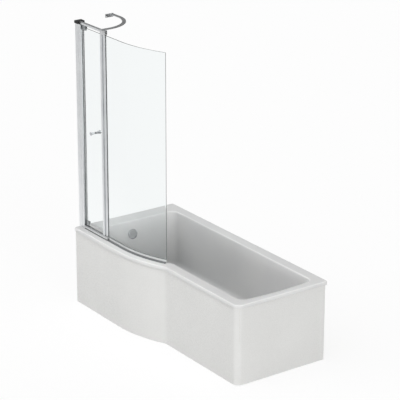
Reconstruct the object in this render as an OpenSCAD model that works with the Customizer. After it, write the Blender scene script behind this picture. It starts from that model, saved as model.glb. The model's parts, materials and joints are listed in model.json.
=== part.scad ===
// P-shaped shower bath: moulded tub with panels, legs and pop-up waste, and a framed
// screen with an access door, a curved hinged glass and a brace arm.
// x runs along the bath, from the shower end (-) to the head end (+). y runs from the
// panelled front (-) to the back wall (+). z is up from the floor. The origin is on the
// floor, under the middle of the bath's length and of its full width.

/* [Bath outline] */
// Length of the bath
bath_l = 1700; // [1600:10:1800]
// Width at the shower end
wide_w = 800; // [780:5:850]
// Width at the head end
narrow_w = 700; // [680:5:720]
// Height of the rim above the floor
rim_h = 538; // [500:1:600]
// Thickness of the rim's top
rim_t = 5; // [4:0.5:8]
// Height of the lip round the rim
lip_h = 25; // [20:1:40]
// Thickness of the lip
lip_t = 5; // [3:0.5:6]
// Radius of the swell in the front
swell_r = 900; // [700:10:1100]
// Straight front between the shower end and the swell
swell_start = 515; // [480:5:560]
// Radius that blends the swell into the narrow front
blend_r = 75; // [40:5:150]
// Radius of the open front corner
corner_r = 50; // [46:1:80]
// Radius of the corners that meet a wall
wall_corner_r = 12; // [8:1:20]

/* [Basin] */
// Rim width along the front
front_rim = 76; // [70:1:90]
// Rim width along the back wall
back_rim = 74; // [60:1:90]
// Rim width at the shower end
tap_rim = 119; // [100:1:140]
// Rim width at the head end, at its middle
head_rim = 49; // [46:1:80]
// Bow of the basin's head end
head_bow = 15; // [5:1:25]
// Radius of the basin's upright corners
basin_corner_r = 80; // [60:5:100]
// Radius of the same corners at the rim
basin_rim_r = 45; // [30:5:60]
// Height of the basin floor above the ground
floor_z = 150; // [140:1:180]
// How far the walls lean in above the floor's rounding
wall_lean = 40; // [20:1:50]
// How far the backrest leans in above the floor's rounding
head_lean = 150; // [100:5:220]
// Width of the rounding between wall and floor
floor_round = 60; // [40:1:70]
// Height of the rounding between wall and floor
round_h = 70; // [50:1:90]
// Thickness of the tub's shell
shell_t = 6; // [5:0.5:8]

/* [Panels and battens] */
// How far the panels stand back from the lip's face
panel_in = 8; // [7:0.5:12]
// Thickness of the panels
panel_t = 3.5; // [3:0.5:5]
// Gap between the panels' top and the underside of the rim
panel_top_gap = 6; // [3:1:10]
// Where the front panel ends in its turn round the open corner, in degrees
joint_a = 60; // [45:5:80]
// Width of the seam between the two panels
seam_w = 0.8; // [0.5:0.1:2]
// Width of the batten under the front rim
front_batten_w = 30; // [20:1:32]
// Width of the batten under the head-end rim
end_batten_w = 22; // [18:1:24]
// Height of the battens
batten_h = 20; // [16:1:25]
// Width of a panel clip
clip_w = 30; // [20:1:40]
// Depth of a panel clip under its batten
clip_d = 18; // [16:1:20]
// Drop of a panel clip behind its panel
clip_drop = 28; // [20:1:40]
// Thickness of a panel clip
clip_t = 2; // [1.5:0.5:3]
// Width of a wall bracket
bracket_w = 40; // [30:1:60]
// Height of a wall bracket
bracket_h = 60; // [50:1:80]
// Reach of a wall bracket under the lip
bracket_d = 30; // [20:1:40]
// Thickness of a wall bracket
bracket_t = 3; // [2:0.5:4]

/* [Under frame] */
// Thickness of the baseboard
board_t = 18; // [15:1:22]
// How far the baseboard stands in from the flat of the floor
board_in = 15; // [10:1:30]
// Width of a leg rail
rail_w = 40; // [36:1:50]
// Height of a leg rail
leg_rail_h = 25; // [20:1:30]
// Thickness of the rails and of the centre plate
rail_t = 2.5; // [2:0.5:3]
// Distance of a leg rail from the baseboard's end
rail_in = 90; // [60:5:150]
// How far a leg rail stops short of the basin's rim line
rail_short = 30; // [20:1:50]
// Distance of a foot from its rail's end
foot_in = 25; // [22:1:40]
// Radius of the leg studs
stud_r = 5; // [4:0.5:6]
// Radius of a foot's pad
foot_r = 22; // [18:1:30]
// Height of a foot's pad
foot_h = 8; // [7:1:12]
// Width of a nut across its corners
nut_w = 19; // [17:1:22]
// Thickness of a nut
nut_t = 8; // [6:1:9]
// Side of the centre foot's plate
plate_w = 70; // [60:5:90]

/* [Waste and overflow] */
// Distance of the waste from the shower end
waste_in = 290; // [280:5:330]
// Distance of the waste and overflow from the bath's middle, towards the front
waste_off = 25; // [0:1:60]
// Radius of the waste flange
flange_r = 35; // [34:1:40]
// Radius of the waste hole in the tub
waste_hole_r = 26; // [25.5:0.5:28]
// Outer radius of the flange's throat
throat_r = 24; // [23:0.5:25]
// Wall of the flange's throat
throat_t = 2; // [1.5:0.5:3]
// Radius of the waste body
waste_r = 32; // [31:1:36]
// Outer radius of the outlet's tail
tail_r = 23.9; // [20:0.1:24]
// Wall of the outlet's tail
tail_t = 3.9; // [2.5:0.1:5]
// Length of the outlet's tail
tail_l = 30; // [25:1:40]
// Travel of the pop-up plug
plug_lift = 10; // [6:1:12]
// Radius of the plug's stem
stem_r = 5; // [4:0.5:6]
// Depth of the overflow's middle below the rim
overflow_drop = 90; // [80:1:130]
// Radius of the overflow dial
dial_r = 35; // [32:1:40]
// How far the dial's face stands off the wall
dial_proud = 15; // [13:1:20]
// Thickness of the dial's disc
dial_t = 7; // [5:0.5:8]
// Radius of the overflow hole in the tub
overflow_hole_r = 25; // [24.5:0.5:28]
// Radius of the dial's spindle
spindle_r = 4; // [3:0.5:5]
// Outer radius of the overflow hose
hose_r = 15; // [14:0.5:17]
// Wall of the overflow hose
hose_t = 2.4; // [1.5:0.1:3]
// Radius of the control cable
cable_r = 3; // [2.5:0.5:4]

/* [Screen frame] */
// Distance of the screen's glass line from the wide front
screen_in = 58; // [56:1:60]
// Height of the frame's top above the rim
frame_h = 1417; // [1300:1:1500]
// Depth of the frame's profiles
frame_d = 33; // [30:1:34]
// Width of the wall channel
channel_w = 38; // [34:1:45]
// Wall of the profiles
profile_t = 2; // [1.5:0.1:2.5]
// Room for screw heads behind the jamb's tongue
tongue_gap = 7; // [5:0.5:9]
// Width of the jamb beside the channel
jamb_w = 27; // [24:1:32]
// Clear width between the jamb and the middle post
opening_w = 231; // [200:1:280]
// Width of the middle post
post_w = 18; // [16:1:24]
// Height of the gasket under the sill
sill_h = 8; // [5:1:10]
// Height of the bottom rail
bottom_rail_h = 19; // [16:1:24]
// Height of the top rail
top_rail_h = 15; // [12:1:20]
// Depth of the top rail
top_rail_d = 20; // [16:1:26]
// Height of the head block
head_h = 25; // [22:1:30]
// Length of the channel's cap along the bath
cap_l = 45; // [42:1:50]
// Reach of the cap in front of the glass line
cap_front = 24; // [20:1:28]
// Reach of the cap behind the glass line
cap_back = 31; // [20:1:35]
// Height of the channel's cap
cap_h = 17; // [12:1:20]
// Height of the lowest wall screw above the rim
wall_hole_z = 102; // [80:1:150]
// Distance between the wall screws
wall_hole_pitch = 600; // [500:10:620]
// Radius of the wall screw holes
wall_hole_r = 2.75; // [2.25:0.25:3]

/* [Access door] */
// Thickness of both glasses
glass_t = 6; // [5:1:8]
// Distance of the door's hinge axis from the jamb
door_axis_in = 14; // [12:1:18]
// Running gap of the door above the bottom rail and below the top rail
door_gap = 2; // [1:0.5:4]
// Length of a door clamp from the hinge axis
clamp_l = 30; // [24:1:40]
// Height of a door clamp
clamp_h = 30; // [26:1:40]
// Half thickness of a door clamp
clamp_r = 8; // [7:0.5:9]
// Depth of a clamp's slot for the glass
clamp_slot = 16; // [10:1:18]
// Radius of the door's pivot pins
door_pin_r = 3; // [2:0.5:3.5]
// Distance of the knob from the middle post
knob_in = 96; // [60:1:120]
// Height of the knob above the rim
knob_z = 705; // [500:5:1000]
// Length of each knob
knob_l = 36; // [30:1:50]
// Radius of a knob at its outer end
knob_r = 12; // [9:0.5:15]
// Radius of a knob at the glass
knob_neck_r = 5.5; // [5:0.5:8]

/* [Curved glass] */
// Reach of the curved glass from its hinge axis
glass_reach = 560; // [500:1:600]
// Gap between the rim and the curved glass
glass_foot = 22; // [18:1:26]
// Drop of the curved glass's top below the frame's top
glass_drop = 29; // [27:1:45]
// Radius of the pivot profile
pivot_r = 10; // [9:0.5:12]
// Running gap between the middle post and the pivot profile
pivot_gap = 1; // [0.75:0.25:2]
// Length of the profile's nose from the hinge axis
nose_l = 16; // [15:0.5:19]
// Half thickness of the profile's nose
nose_r = 7.5; // [7:0.5:8.5]
// Thickness of the gasket round the glass's edge
gasket_t = 1.5; // [1:0.25:2]
// Radius of the pivot pins
pin_r = 3; // [2.5:0.25:3.5]
// Outer radius of the pivot bushes
bush_r = 5; // [4.5:0.25:5.5]
// Width of the curved seal's foot in front of the glass
seal_foot = 14; // [8:1:15]

/* [Brace arm] */
// Width of the arm's strip
arm_w = 25; // [20:1:28]
// Thickness of the arm's strip
arm_t = 5; // [4:0.5:6]
// Radius of the arm's bend
arm_bend_r = 218; // [180:1:250]
// Distance of the arm's wall end behind the glass line
arm_back = 260; // [255:1:320]
// Width of the arm's wall plate
arm_plate_w = 62; // [56:1:80]
// Height of the arm's wall plate
arm_plate_h = 24; // [22:1:30]
// Distance between the wall plate's screw holes
arm_hole_pitch = 44; // [40:1:46]

/* [Fasteners and clearances] */
// Radius of the wood and frame screws
screw_r = 2; // [1.5:0.25:2.25]
// Radius of a screw's head
head_r = 3.6; // [3:0.1:4.5]
// Thickness of a screw's head
head_t = 2; // [1.5:0.25:2.5]
// Radial clearance of a screw in its hole
screw_fit = 0.1; // [0.05:0.05:0.2]
// Radial clearance of a turning or sliding shaft
run_fit = 0.05; // [0.02:0.01:0.1]
// Gap between pieces that seat beside each other
seat_gap = 0.3; // [0.2:0.05:0.5]

/* [Hidden] */
$fn = 48;
arc_fn = 180;
hull_fn = 32;
eps = 0.01;
cut = 1;

// Outline of the bath
x0 = -bath_l / 2;
x1 = bath_l / 2;
y_back = wide_w / 2;
y_wide = -wide_w / 2;
y_narrow = y_back - narrow_w;
swell_step = wide_w - narrow_w;
swell_cx = x0 + swell_start;
swell_cy = y_wide + swell_r;
blend_span = swell_r + blend_r;
blend_dx = sqrt(pow(blend_span, 2) - pow(blend_span - swell_step, 2));
blend_cx = swell_cx + blend_dx;
blend_cy = y_narrow - blend_r;
swell_a = asin(blend_dx / blend_span);
swell_steps = 40;
corner_steps = 12;
rim_under = rim_h - rim_t;
lip_z = rim_h - lip_h;

// Basin: its rim line, and the flat of its floor
basin_x0 = x0 + tap_rim;
basin_x1 = x1 - head_rim;
basin_y0 = y_narrow + front_rim;
basin_yw = y_wide + front_rim;
basin_y1 = y_back - back_rim;
basin_swell_r = swell_r - front_rim;
basin_swell_a = acos((swell_cy - basin_y0) / basin_swell_r);
wall_run = rim_h - floor_z - round_h;
lean_a = atan(wall_lean / wall_run);
flat_in = wall_lean + floor_round;
flat_x1 = basin_x1 - head_lean - floor_round - head_bow;
flat_y0 = basin_y0 + flat_in;
flat_y1 = basin_y1 - flat_in;
under_z = floor_z - shell_t;

// Panels and battens
panel_top = rim_under - panel_top_gap;
batten_in = panel_in + panel_t + seat_gap;
batten_z = rim_under - batten_h;
batten_end = 20;
corner_cx = x1 - corner_r;
corner_cy = y_narrow + corner_r;
clip_screw_l = 14;
bracket_hole_r = 3;
bracket_pitch = 450;
bracket_xs = [for (k = [-1:1]) k * bracket_pitch];
clip_in = 150;
clip_pitch = 280;
wide_clip_xs = [for (k = [0, 1]) x0 + clip_in + k * clip_pitch];
narrow_clip_xs = [for (k = [0, 1]) x1 - clip_in - k * clip_pitch];
end_clip_ys = [for (k = [0, 1]) y_back - clip_in - k * clip_pitch];

// Under frame
waste_x = x0 + waste_in;
waste_y = -waste_off;
waste_room = 28;
board_x0 = waste_x + waste_r + waste_room;
board_x1 = flat_x1 - board_in;
board_y0 = flat_y0 + board_in;
board_y1 = flat_y1 - board_in;
board_z = under_z - board_t;
rail_z = board_z - leg_rail_h;
rail_xs = [board_x0 + rail_in, board_x1 - rail_in];
rail_y0s = [basin_yw + rail_short, basin_y0 + rail_short];
rail_y1 = basin_y1 - rail_short;
centre_x = (board_x0 + board_x1) / 2;
centre_y = (board_y0 + board_y1) / 2;
stud_spots = concat(
    [for (i = [0, 1]) [rail_xs[i], rail_y0s[i] + foot_in]],
    [for (i = [0, 1]) [rail_xs[i], rail_y1 - foot_in]]);
stud_top = board_z + nut_t + 4;
stud_foot = foot_h - 2;
hub_r = stud_r + 6;
hub_h = foot_h + 16;
board_screw_l = 14;
rail_screw_ys = [board_y0 + 30, board_y1 - 30];
plate_screw_off = plate_w / 2 - 10;

// Waste: the body hangs under the floor from the flange's throat
waste_gasket_t = 3;
waste_top = under_z - waste_gasket_t;
waste_rim_t = 4;
waste_floor = waste_top - 50;
cavity_top = waste_top - 22;
cavity_z = waste_floor + 4;
cavity_r = waste_r - 4;
flange_t = 2.5;
throat_l = 22;
plug_r = flange_r - 4;
plug_t = 5;
plug_boss_r = throat_r - throat_t - 3;
seal_gap = 0.3;
hub_bar = 4;
guide_r = stem_r + 3;
guide_z = floor_z - 14;
guide_h = 6;
lever_l = 20;
lever_tip_r = 2;
lever_x = waste_x - lever_l;
lever_z = cavity_z + 9;
lever_w = 8;
lever_hub_r = 4;
lever_pin_r = 1.5;
stem_z = lever_z + lever_tip_r + seat_gap;
inlet_z = waste_floor + 16;
inlet_l = 30;

// Overflow, on the leaning wall of the shower end
wall_n = shell_t * cos(lean_a);
overflow_z = rim_h - overflow_drop;
overflow_x = basin_x0 + wall_lean * overflow_drop / wall_run;
overflow_gasket_t = 2.5;
cup_z = -wall_n - overflow_gasket_t;
cup_rim_t = 4;
cup_depth = 36;
cup_wall = 4;
sleeve_r = overflow_hole_r - 1;
sleeve_t = 2.5;
sleeve_l = 16;
cup_r = sleeve_r + cup_wall;
cup_flange = 6;
face_r = dial_r - 4;
face_t = 3;
dial_hub_r = 9;
dial_back = dial_proud - dial_t;
spindle_hub_r = 8;
spindle_in = 5;
spigot_x = overflow_x - cos(lean_a) * (cup_depth / 2 - cup_z);
spigot_r = hose_r - hose_t - run_fit;
spigot_wall = 2;
hose_overlap = 14;
spigot_z = overflow_z - cup_r - cup_flange - hose_overlap - 4;
hose_bend_r = 60;
hose_end_x = waste_x - waste_r - inlet_l + hose_overlap;
hose_nut_t = 3;
hose_nut_l = 12;
cable_off = 24;
cable_bend_r = 60;
cable_z = waste_floor + 8;
gland_r = cable_r + 2;
cable_x = spigot_x - 8;
cable_top = overflow_z - 50;
cable_end_x = waste_x - waste_r - 4;

// Screen frame
screen_y = y_wide + screen_in;
channel_x1 = x0 + channel_w;
jamb_x1 = channel_x1 + jamb_w;
post_x0 = jamb_x1 + opening_w;
post_x1 = post_x0 + post_w;
pivot_x = post_x1 + pivot_gap + pivot_r;
block_over = 16;
block_x1 = pivot_x + block_over;
frame_top = rim_h + frame_h;
channel_top = frame_top - top_rail_h;
rail_x0 = x0 + cap_l + seat_gap;
sill_top = rim_h + sill_h;
bottom_rail_top = sill_top + bottom_rail_h;
head_z = frame_top - head_h;
tongue_fit = 0.5;
tongue_d = frame_d - 2 * profile_t - 2 * tongue_fit;
web_w = 8;
lock_in = 14;
lock_x = channel_x1 - lock_in;
lock_first = 150;
lock_pitch = 550;
lock_zs = [for (k = [0:2]) rim_h + lock_first + k * lock_pitch];
frame_screw_l = 24;

// Access door
door_x = jamb_x1 + door_axis_in;
door_z0 = bottom_rail_top + door_gap;
door_z1 = channel_top - door_gap;
door_glass_z0 = door_z0 + clamp_h - clamp_slot;
door_glass_z1 = door_z1 - clamp_h + clamp_slot;
door_glass_x0 = door_x - clamp_r;
door_post_gap = 6;
door_glass_x1 = post_x0 - door_post_gap;
door_pin_in = 12;
edge_seal_t = 1.2;
edge_seal_leg = 8;
edge_gap = 1;
knob_x = post_x0 - knob_in;
knob_h = rim_h + knob_z;
washer_t = 1;
washer_r = 7;
knob_stud_in = 14;
knob_stud_r = 4;
knob_cap = 3;

// Curved glass, which keeps the swell's own centre
screen_r = swell_r - screen_in;
glass_x0 = pivot_x + nose_l / 2;
glass_x1 = pivot_x + glass_reach;
glass_a = asin((glass_x1 - swell_cx) / screen_r);
glass_z0 = rim_h + glass_foot;
glass_z1 = frame_top - glass_drop;
collar_t = 1.5;
profile_z0 = bottom_rail_top + seat_gap + collar_t + seat_gap;
profile_z1 = head_z - seat_gap - collar_t - seat_gap;
bush_l = 28;
collar_r = 8;
pin_in = 16;
foot_reach = norm([block_over, frame_d / 2]);
notch_x1 = pivot_x + foot_reach + 1;
seal_x0 = notch_x1 + 2;
seal_wall = 1.5;
seal_grip = 8;
seal_heel = 7.5;
seal_toe_h = 3;

// Brace arm
arm_x = post_x0 + arm_w / 2 + 0.5;
arm_y = screen_y + arm_back;
arm_front = 13;
arm_y0 = screen_y - arm_front;
arm_screw_in = 6;
arm_plate_t = 5;
arm_shelf = 25;
arm_shelf_t = 5;
arm_plate_drop = 17;
arm_plate_over = 16;
arm_plate_z0 = frame_top - arm_plate_drop;
arm_plate_y1 = arm_y + arm_plate_over;
arm_hole_up = 6;
arm_hole_z = arm_plate_z0 + arm_hole_up;
arm_hole_y0 = arm_plate_y1 - (arm_plate_w - arm_hole_pitch) / 2 - arm_hole_pitch;

// ---- shared shapes ----

// Points on an arc, from angle a0 to a1 in n steps
function arc(cx, cy, r, a0, a1, n) =
    [for (k = [0:n]) let (a = a0 + (a1 - a0) * k / n) [cx + r * cos(a), cy + r * sin(a)]];

// The bath's outline, drawn in by d all round, but by left at the shower end. The swell
// runs into the blend where the line through their middles crosses both.
module p_outline(d, left) {
    wall_r = max(1, wall_corner_r - d);
    open_r = max(1, corner_r - d);
    polygon(concat(
        arc(x0 + left + wall_r, y_wide + d + wall_r, wall_r, 180, 270, corner_steps),
        arc(swell_cx, swell_cy, swell_r - d, 270, 270 + swell_a, swell_steps),
        arc(blend_cx, blend_cy, blend_r + d, 90 + swell_a, 90, corner_steps),
        arc(x1 - d - open_r, y_narrow + d + open_r, open_r, 270, 360, corner_steps),
        arc(x1 - d - wall_r, y_back - d - wall_r, wall_r, 0, 90, corner_steps),
        arc(x0 + left + wall_r, y_back - d - wall_r, wall_r, 90, 180, corner_steps)));
}

// A band that follows the outline, w wide, its outer edge drawn in by d. It starts at
// left from the shower end, and only the closed lip also runs across that end.
module p_band(d, w, left, closed)
    difference() {
        p_outline(d, left);
        p_outline(d + w, closed ? d + w : left - cut);
    }

// Everything to the front of the panels' seam, or behind it
module seam_side(front) {
    far = bath_l;
    s = seam_w / 2;
    translate([corner_cx, corner_cy])
        rotate(joint_a - 90)
            translate([-far, front ? -far - s : s])
                square([2 * far, far]);
}

// Levels of the basin, top to floor: height, inset of the walls, more inset at the head,
// radius of the corners
function basin_levels(t) = concat(
    t == 0
        ? [[rim_h + cut, 0, 0, basin_rim_r], [rim_h, 0, 0, basin_rim_r]]
        : [[rim_h - rim_t / 2, wall_lean * rim_t / 2 / wall_run,
            (head_lean - wall_lean) * rim_t / 2 / wall_run,
            basin_rim_r + (basin_corner_r - basin_rim_r) * rim_t / 2 / wall_run]],
    [for (a = [0:22.5:90])
        [floor_z + round_h * (1 - sin(a)) - t * sin(a),
         wall_lean + floor_round * (1 - cos(a)), head_lean - wall_lean,
         basin_corner_r]]);

// Middles of the corner discs of the basin's full length
function long_discs(i, e, r) = let (
    mid = (basin_y0 + basin_y1) / 2,
    half = (basin_y1 - basin_y0) / 2 - i - r)
    concat(
        [[basin_x0 + i + r, mid - half], [basin_x0 + i + r, mid + half]],
        [for (k = [-1:0.5:1]) [basin_x1 - i - e - r - head_bow * k * k, mid + k * half]]);

// Middles of the corner discs of the basin's swelled shower end
function swell_discs(i, r) = let (s = basin_swell_r - i - r)
    concat(
        [[basin_x0 + i + r, basin_yw + i + r], [basin_x0 + i + r, basin_y1 - i - r]],
        [for (k = [0:0.25:1]) [swell_cx + s * sin(basin_swell_a * k),
                               swell_cy - s * cos(basin_swell_a * k)]]);

// The basin as a solid block: its hollow at t = 0, its outside at t = shell_t
module basin_block(t) {
    hull()
        for (l = basin_levels(t))
            for (c = long_discs(l[1], l[2], l[3]))
                translate([c[0], c[1], l[0]])
                    cylinder(r = l[3] + t, h = eps, $fn = hull_fn);
    hull()
        for (l = basin_levels(t))
            for (c = swell_discs(l[1], l[3]))
                translate([c[0], c[1], l[0]])
                    cylinder(r = l[3] + t, h = eps, $fn = hull_fn);
}

// A straight round pin or hole from z0 to z1
module rod(x, y, z0, z1, r)
    translate([x, y, z0]) cylinder(r = r, h = z1 - z0);

// A block between two corners
module box(a, b)
    translate(a) cube(b - a);

// A ring from z0 to z1
module ring(z0, z1, r_out, r_in)
    translate([0, 0, z0])
        difference() {
            cylinder(r = r_out, h = z1 - z0);
            translate([0, 0, -cut]) cylinder(r = r_in, h = z1 - z0 + 2 * cut);
        }

// A screw that points up from its seat at z, or down when up is -1
module screw(x, y, z, l, up)
    translate([x, y, z])
        mirror([0, 0, up > 0 ? 0 : 1]) {
            cylinder(r = screw_r, h = l);
            translate([0, 0, -head_t]) cylinder(r = head_r, h = head_t);
        }

// The hole that such a screw needs, through the piece and l deep
module screw_hole(x, y, z, l, up)
    translate([x, y, z])
        mirror([0, 0, up > 0 ? 0 : 1])
            translate([0, 0, -cut]) cylinder(r = screw_r + screw_fit, h = l + cut + seat_gap);

// The waste's own place: z stays the bath's, x and y start at its middle
module at_waste()
    translate([waste_x, waste_y, 0]) children();

// The overflow's own place: z starts at the wall's face and points into the bath
module at_overflow()
    translate([overflow_x, waste_y, overflow_z])
        rotate([0, 90 - lean_a, 0])
            children();

// A pipe that runs down from z1 at x, y, bends and runs along x to x_end at height z
module down_pipe(x, y, z1, z, bend, x_end, r) {
    rod(x, y, z + bend, z1, r);
    translate([x + bend, y, z + bend])
        rotate([90, 0, 0])
            rotate([0, 0, 180])
                rotate_extrude(angle = 90)
                    translate([bend, 0]) circle(r = r);
    translate([x + bend, y, z])
        rotate([0, 90, 0])
            cylinder(r = r, h = x_end - x - bend);
}

// A hexagon nut round a stud
module nut(x, y, z)
    translate([x, y, z])
        difference() {
            cylinder(d = nut_w, h = nut_t, $fn = 6);
            translate([0, 0, -cut]) cylinder(r = stud_r + screw_fit, h = nut_t + 2 * cut);
        }

// ---- tub ----

module tub()
    color("white")
        difference() {
            union() {
                translate([0, 0, rim_under]) linear_extrude(rim_t) p_outline(0, 0);
                translate([0, 0, lip_z]) linear_extrude(lip_h - rim_t / 2) p_band(0, lip_t, 0, true);
                basin_block(shell_t);
            }
            basin_block(0);
            at_waste() rod(0, 0, under_z - cut, floor_z + cut, waste_hole_r);
            at_overflow() rod(0, 0, -2 * shell_t, 2 * shell_t, overflow_hole_r);
        }

// ---- under frame ----

module baseboard()
    color("burlywood")
        difference() {
            box([board_x0, board_y0, board_z], [board_x1, board_y1, under_z]);
            for (s = board_screw_spots())
                screw_hole(s[0], s[1], board_z, board_screw_l, 1);
        }

// Where the rails and the centre plate are screwed to the baseboard
function board_screw_spots() = concat(
    [for (x = rail_xs) for (y = rail_screw_ys) [x, y]],
    [for (sx = [-1, 1]) for (sy = [-1, 1])
        [centre_x + sx * plate_screw_off, centre_y + sy * plate_screw_off]]);

module board_screws()
    color("silver")
        for (s = board_screw_spots())
            screw(s[0], s[1], board_z - rail_t, board_screw_l, 1);

module leg_rails()
    color("silver")
        for (i = [0, 1])
            difference() {
                box([rail_xs[i] - rail_w / 2, rail_y0s[i], rail_z],
                    [rail_xs[i] + rail_w / 2, rail_y1, board_z]);
                box([rail_xs[i] - rail_w / 2 + rail_t, rail_y0s[i] - cut, rail_z - cut],
                    [rail_xs[i] + rail_w / 2 - rail_t, rail_y1 + cut, board_z - rail_t]);
                for (y = [rail_y0s[i] + foot_in, rail_y1 - foot_in])
                    rod(rail_xs[i], y, rail_z, board_z + cut, stud_r + screw_fit);
                for (y = rail_screw_ys)
                    rod(rail_xs[i], y, rail_z, board_z + cut, screw_r + screw_fit);
            }

module centre_plate()
    color("silver")
        difference() {
            box([centre_x - plate_w / 2, centre_y - plate_w / 2, board_z - rail_t],
                [centre_x + plate_w / 2, centre_y + plate_w / 2, board_z]);
            rod(centre_x, centre_y, rail_z, board_z + cut, stud_r + screw_fit);
            for (sx = [-1, 1])
                for (sy = [-1, 1])
                    rod(centre_x + sx * plate_screw_off, centre_y + sy * plate_screw_off,
                        rail_z, board_z + cut, screw_r + screw_fit);
        }

module leg_studs()
    color("silver") {
        for (s = stud_spots)
            rod(s[0], s[1], stud_foot, stud_top, stud_r);
        rod(centre_x, centre_y, stud_foot, board_z - seat_gap, stud_r);
    }

module leg_nuts()
    color("silver") {
        for (s = stud_spots) {
            nut(s[0], s[1], board_z);
            nut(s[0], s[1], board_z - rail_t - nut_t);
        }
        nut(centre_x, centre_y, board_z - rail_t - nut_t);
    }

module feet()
    color("dimgray")
        for (s = concat(stud_spots, [[centre_x, centre_y]]))
            translate([s[0], s[1], 0])
                difference() {
                    union() {
                        cylinder(r = foot_r, h = foot_h);
                        cylinder(r = hub_r, h = hub_h);
                    }
                    translate([0, 0, stud_foot])
                        cylinder(r = stud_r + screw_fit, h = hub_h);
                }

// ---- rim battens, panels and brackets ----

// One length of batten along the wide front, and one along the narrow front
module front_battens()
    color("burlywood")
        difference() {
            union() {
                box([x0 + batten_end, y_wide + batten_in, batten_z],
                    [swell_cx, y_wide + batten_in + front_batten_w, rim_under]);
                box([blend_cx, y_narrow + batten_in, batten_z],
                    [corner_cx, y_narrow + batten_in + front_batten_w, rim_under]);
            }
            for (s = front_clip_spots())
                screw_hole(s[0], s[1] + clip_d / 2, batten_z, clip_screw_l, 1);
        }

module end_batten()
    color("burlywood")
        difference() {
            box([x1 - batten_in - end_batten_w, corner_cy, batten_z],
                [x1 - batten_in, y_back - batten_end, rim_under]);
            for (y = end_clip_ys)
                screw_hole(x1 - batten_in - clip_d / 2, y, batten_z, clip_screw_l, 1);
        }

// Where the front clips stand, at the panel's back face
function front_clip_spots() = concat(
    [for (x = wide_clip_xs) [x, y_wide + batten_in]],
    [for (x = narrow_clip_xs) [x, y_narrow + batten_in]]);

// One clip, its back to the panel at y = 0
module panel_clip()
    difference() {
        union() {
            box([-clip_w / 2, 0, batten_z - clip_t], [clip_w / 2, clip_d, batten_z]);
            box([-clip_w / 2, 0, batten_z - clip_drop], [clip_w / 2, clip_t, batten_z]);
        }
        rod(0, clip_d / 2, batten_z - 2 * clip_t, batten_z + cut, screw_r + screw_fit);
    }

module panel_clips()
    color("silver") {
        for (s = front_clip_spots())
            translate([s[0], s[1], 0]) panel_clip();
        for (y = end_clip_ys)
            translate([x1 - batten_in, y, 0]) rotate(90) panel_clip();
    }

module clip_screws()
    color("silver") {
        for (s = front_clip_spots())
            screw(s[0], s[1] + clip_d / 2, batten_z - clip_t, clip_screw_l, 1);
        for (y = end_clip_ys)
            screw(x1 - batten_in - clip_d / 2, y, batten_z - clip_t, clip_screw_l, 1);
    }

module front_panel()
    color("white")
        linear_extrude(panel_top)
            intersection() {
                p_band(panel_in, panel_t, lip_t + seat_gap, false);
                translate([x0, y_wide]) square([bath_l, swell_step + corner_r]);
                seam_side(true);
            }

module end_panel()
    color("white")
        linear_extrude(panel_top)
            intersection() {
                p_band(panel_in, panel_t, 0, false);
                translate([corner_cx, y_narrow])
                    square([corner_r, narrow_w - wall_corner_r]);
                seam_side(false);
            }

module wall_brackets()
    color("silver")
        for (x = bracket_xs)
            difference() {
                union() {
                    box([x - bracket_w / 2, y_back - bracket_d, lip_z - bracket_t],
                        [x + bracket_w / 2, y_back, lip_z]);
                    box([x - bracket_w / 2, y_back - bracket_t, lip_z - bracket_h],
                        [x + bracket_w / 2, y_back, lip_z]);
                }
                translate([x, y_back + cut, lip_z - bracket_h / 2])
                    rotate([90, 0, 0])
                        cylinder(r = bracket_hole_r, h = bracket_t + 2 * cut);
            }

// ---- waste ----

module waste_flange()
    color("silver")
        at_waste() {
            ring(floor_z, floor_z + flange_t, flange_r, throat_r - throat_t);
            ring(floor_z - throat_l, floor_z, throat_r, throat_r - throat_t);
            ring(guide_z, guide_z + guide_h, guide_r, stem_r + run_fit);
            for (a = [0, 120, 240])
                rotate(a)
                    box([guide_r - 1, -hub_bar / 2, guide_z],
                        [throat_r - throat_t / 2, hub_bar / 2, guide_z + guide_h]);
        }

module waste_gasket()
    color("dimgray")
        at_waste() ring(waste_top, under_z, waste_r + 4, throat_r + seat_gap);

module waste_body()
    color("gray")
        at_waste()
            difference() {
                union() {
                    rod(0, 0, waste_top - waste_rim_t, waste_top, waste_r + 4);
                    rod(0, 0, waste_floor, waste_top, waste_r);
                    rod(0, 0, waste_floor - tail_l, waste_floor + cut, tail_r);
                    translate([0, 0, inlet_z])
                        rotate([0, -90, 0])
                            cylinder(r = spigot_r, h = waste_r + inlet_l);
                    translate([0, -cable_off, cable_z])
                        rotate([0, -90, 0])
                            cylinder(r = gland_r, h = waste_r + 4);
                }
                rod(0, 0, cavity_top - cut, waste_top + cut, throat_r + screw_fit);
                rod(0, 0, cavity_z, cavity_top, cavity_r);
                rod(0, 0, waste_floor - tail_l - cut, cavity_z + cut, tail_r - tail_t);
                translate([-cavity_r + 4, 0, inlet_z])
                    rotate([0, -90, 0])
                        cylinder(r = spigot_r - spigot_wall, h = waste_r + inlet_l);
                translate([-lever_l, waste_r, lever_z])
                    rotate([90, 0, 0])
                        cylinder(r = lever_pin_r + run_fit, h = 2 * waste_r);
            }

module waste_plug()
    color("silver")
        at_waste()
            difference() {
                union() {
                    rod(0, 0, floor_z + flange_t + seal_gap, floor_z + flange_t + plug_t, plug_r);
                    rod(0, 0, floor_z - 3, floor_z + flange_t + plug_t, plug_boss_r);
                    rod(0, 0, stem_z, floor_z, stem_r);
                }
                ring(floor_z - 1, floor_z + 2, plug_r, plug_boss_r - 1);
            }

module plug_seal()
    color("dimgray")
        at_waste() ring(floor_z - 1, floor_z + 2, throat_r - throat_t - seal_gap, plug_boss_r - 1);

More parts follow.
